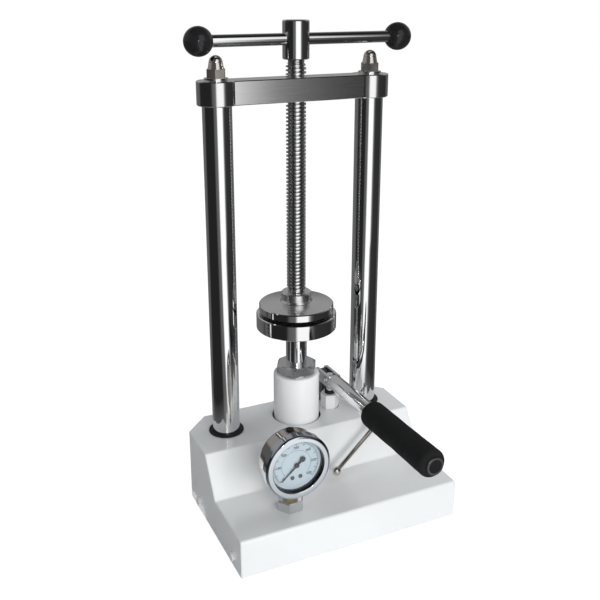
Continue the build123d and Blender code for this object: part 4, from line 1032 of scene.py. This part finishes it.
# Gauge window: a flat clear pane with faint smears, which lets light through to the dial.
# It sits behind the bezel's lip.
pane, tree, shader = new_finish(
    "clear_pane",
    (0.97, 0.985, 0.99),
    roughness=0.03,
    Transmission_Weight=1.0,
    IOR=1.46,
    Specular_IOR_Level=0.1,
)
skin = use_group(tree, grain, Fineness=900.0, Patch_Size=90.0, Low=0.01, High=0.06)
tree.links.new(skin.outputs["Roughness"], shader.inputs["Roughness"])
path = add_node(tree, "ShaderNodeLightPath")
passing = add_node(
    tree,
    "ShaderNodeMath",
    {0: path.outputs["Is Shadow Ray"], 1: path.outputs["Is Diffuse Ray"]},
    operation="MAXIMUM",
)
clear = add_node(tree, "ShaderNodeBsdfTransparent", {"Color": (0.97, 0.985, 0.99, 1)})
through = add_node(
    tree,
    "ShaderNodeMixShader",
    {0: passing.outputs[0], 1: shader.outputs[0], 2: clear.outputs[0]},
)
output = next(node for node in tree.nodes if node.type == "OUTPUT_MATERIAL")
tree.links.new(through.outputs[0], output.inputs["Surface"])
dress(pane, "gauge_window")

# Dial: a white painted disc, a little blue through the filling, with a printed black scale.
# The scale is plain arcs, ticks and figures, and sweeps three quarters of a turn.
# Two screws with a near-black metal colour hold the disc.
dial_paint, tree, shader = new_finish("dial_paint", (0.6, 0.7, 0.78), roughness=0.5)
wear(
    tree,
    shader,
    grain,
    (0.5, 0.585, 0.655),
    (0.55, 0.63, 0.68),
    Fineness=900.0,
    Patch_Size=60.0,
    Low=0.42,
    High=0.6,
)
dress(dial_paint, "gauge_dial")

ink, tree, shader = new_finish("dial_ink", (0.01, 0.0105, 0.012), roughness=0.55, Specular_IOR_Level=0.1)
wear(
    tree,
    shader,
    grain,
    (0.004, 0.0042, 0.005),
    (0.014, 0.0145, 0.016),
    Fineness=2000.0,
    Patch_Size=400.0,
    Low=0.45,
    High=0.7,
)
dress(ink, "gauge_pointer")

screw_black, tree, shader = new_finish("screw_black", (0.06, 0.062, 0.068), metallic=1.0, roughness=0.2)
wear(
    tree,
    shader,
    grain,
    (0.035, 0.037, 0.042),
    (0.12, 0.124, 0.13),
    Fineness=1500.0,
    Patch_Size=300.0,
    Low=0.12,
    High=0.3,
)
dress(screw_black, "dial_screws")

dial_front = -0.1211
ink_depth = 0.00006
ink_front = dial_front - ink_depth
arc_lift = 0.00002
scale_start = 222.0
scale_sweep = 264.0
scale_radius = 0.0242
figure_circle = 0.019
figure_steps = 6

tick_tree = bpy.data.node_groups.new("scale_ticks", "GeometryNodeTree")
tick_tree.interface.new_socket(name="Geometry", in_out="OUTPUT", socket_type="NodeSocketGeometry")
for name, value in (("Outer Radius", scale_radius), ("Tick Length", 0.0018), ("Tick Width", 0.0002)):
    socket = tick_tree.interface.new_socket(name=name, in_out="INPUT", socket_type="NodeSocketFloat")
    socket.default_value = value
socket = tick_tree.interface.new_socket(name="Count", in_out="INPUT", socket_type="NodeSocketInt")
socket.default_value = 61
sizes = add_node(tick_tree, "NodeGroupInput").outputs
marks = add_node(tick_tree, "GeometryNodeMeshLine", {"Count": sizes["Count"], "Offset": (0.0, 0.0, 0.0)})
order = add_node(tick_tree, "GeometryNodeInputIndex").outputs[0]
share = figure(tick_tree, "DIVIDE", order, figure(tick_tree, "SUBTRACT", sizes["Count"], 1.0))
angle = figure(
    tick_tree, "MULTIPLY_ADD", share, math.radians(-scale_sweep), math.radians(scale_start)
)
middle = figure(tick_tree, "MULTIPLY_ADD", sizes["Tick Length"], -0.5, sizes["Outer Radius"])
spot = add_node(
    tick_tree,
    "ShaderNodeCombineXYZ",
    {
        "X": figure(tick_tree, "MULTIPLY_ADD", middle, figure(tick_tree, "COSINE", angle), gauge_x),
        "Y": ink_front,
        "Z": figure(tick_tree, "MULTIPLY_ADD", middle, figure(tick_tree, "SINE", angle), gauge_z),
    },
)
spread = add_node(
    tick_tree, "GeometryNodeSetPosition", {"Geometry": marks.outputs[0], "Position": spot.outputs[0]}
)
stroke_size = add_node(
    tick_tree, "ShaderNodeCombineXYZ", {"X": sizes["Tick Length"], "Y": ink_depth, "Z": sizes["Tick Width"]}
)
stroke = add_node(tick_tree, "GeometryNodeMeshCube", {"Size": stroke_size.outputs[0]})
tilt = add_node(
    tick_tree, "ShaderNodeCombineXYZ", {"Y": figure(tick_tree, "MULTIPLY", angle, -1.0)}
)
laid = add_node(
    tick_tree,
    "GeometryNodeInstanceOnPoints",
    {"Points": spread.outputs[0], "Instance": stroke.outputs[0], "Rotation": tilt.outputs[0]},
)
real = add_node(tick_tree, "GeometryNodeRealizeInstances", {"Geometry": laid.outputs[0]})
coated = add_node(tick_tree, "GeometryNodeSetMaterial", {"Geometry": real.outputs[0], "Material": ink})
add_node(tick_tree, "NodeGroupOutput", {"Geometry": coated.outputs[0]})

for name, sizes in (
    ("dial_ticks_fine", {"Count": 61, "Tick Length": 0.0015, "Tick Width": 0.00028}),
    ("dial_ticks_main", {"Count": 13, "Tick Length": 0.003, "Tick Width": 0.00055}),
):
    ticks = grown(name, tick_tree, **sizes)
    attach(ticks, "frame")


def dial_arc(name, inner, outer):
    """A thin printed arc along the scale, flat on the dial."""
    points = []
    faces = []
    steps = 120
    for step in range(steps + 1):
        angle = math.radians(scale_start - scale_sweep * step / steps)
        for radius in (inner, outer):
            x = gauge_x + radius * math.cos(angle)
            z = gauge_z + radius * math.sin(angle)
            points.append((x, ink_front - arc_lift, z))
        if step:
            low = 2 * step - 2
            faces.append((low, low + 1, low + 3, low + 2))
    arc = mesh_piece(name, points, faces, ink)
    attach(arc, "frame")


dial_arc("dial_arc_outer", scale_radius, 0.02448)
dial_arc("dial_arc_inner", 0.0158, 0.01606)

figures = bmesh.new()
for step in range(figure_steps + 1):
    text = bpy.data.curves.new("figure", "FONT")
    text.body = str(100 * step)
    text.size = 0.0038
    text.offset = 0.00008
    text.align_x = "CENTER"
    text.align_y = "CENTER"
    carrier = bpy.data.objects.new("figure", text)
    flat_text = bpy.data.meshes.new_from_object(carrier)
    angle = math.radians(scale_start - scale_sweep * step / figure_steps)
    across = gauge_x + figure_circle * math.cos(angle)
    upward = gauge_z + figure_circle * math.sin(angle)
    upright = Matrix.Rotation(math.radians(90), 4, "X")
    flat_text.transform(Matrix.Translation((across, ink_front, upward)) @ upright)
    figures.from_mesh(flat_text)
    bpy.data.objects.remove(carrier)
    bpy.data.meshes.remove(flat_text)
figure_mesh = bpy.data.meshes.new("dial_figures")
figures.to_mesh(figure_mesh)
figures.free()
figure_mesh.materials.append(ink)
dial_figures = bpy.data.objects.new("dial_figures", figure_mesh)
scene.collection.objects.link(dial_figures)
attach(dial_figures, "frame")
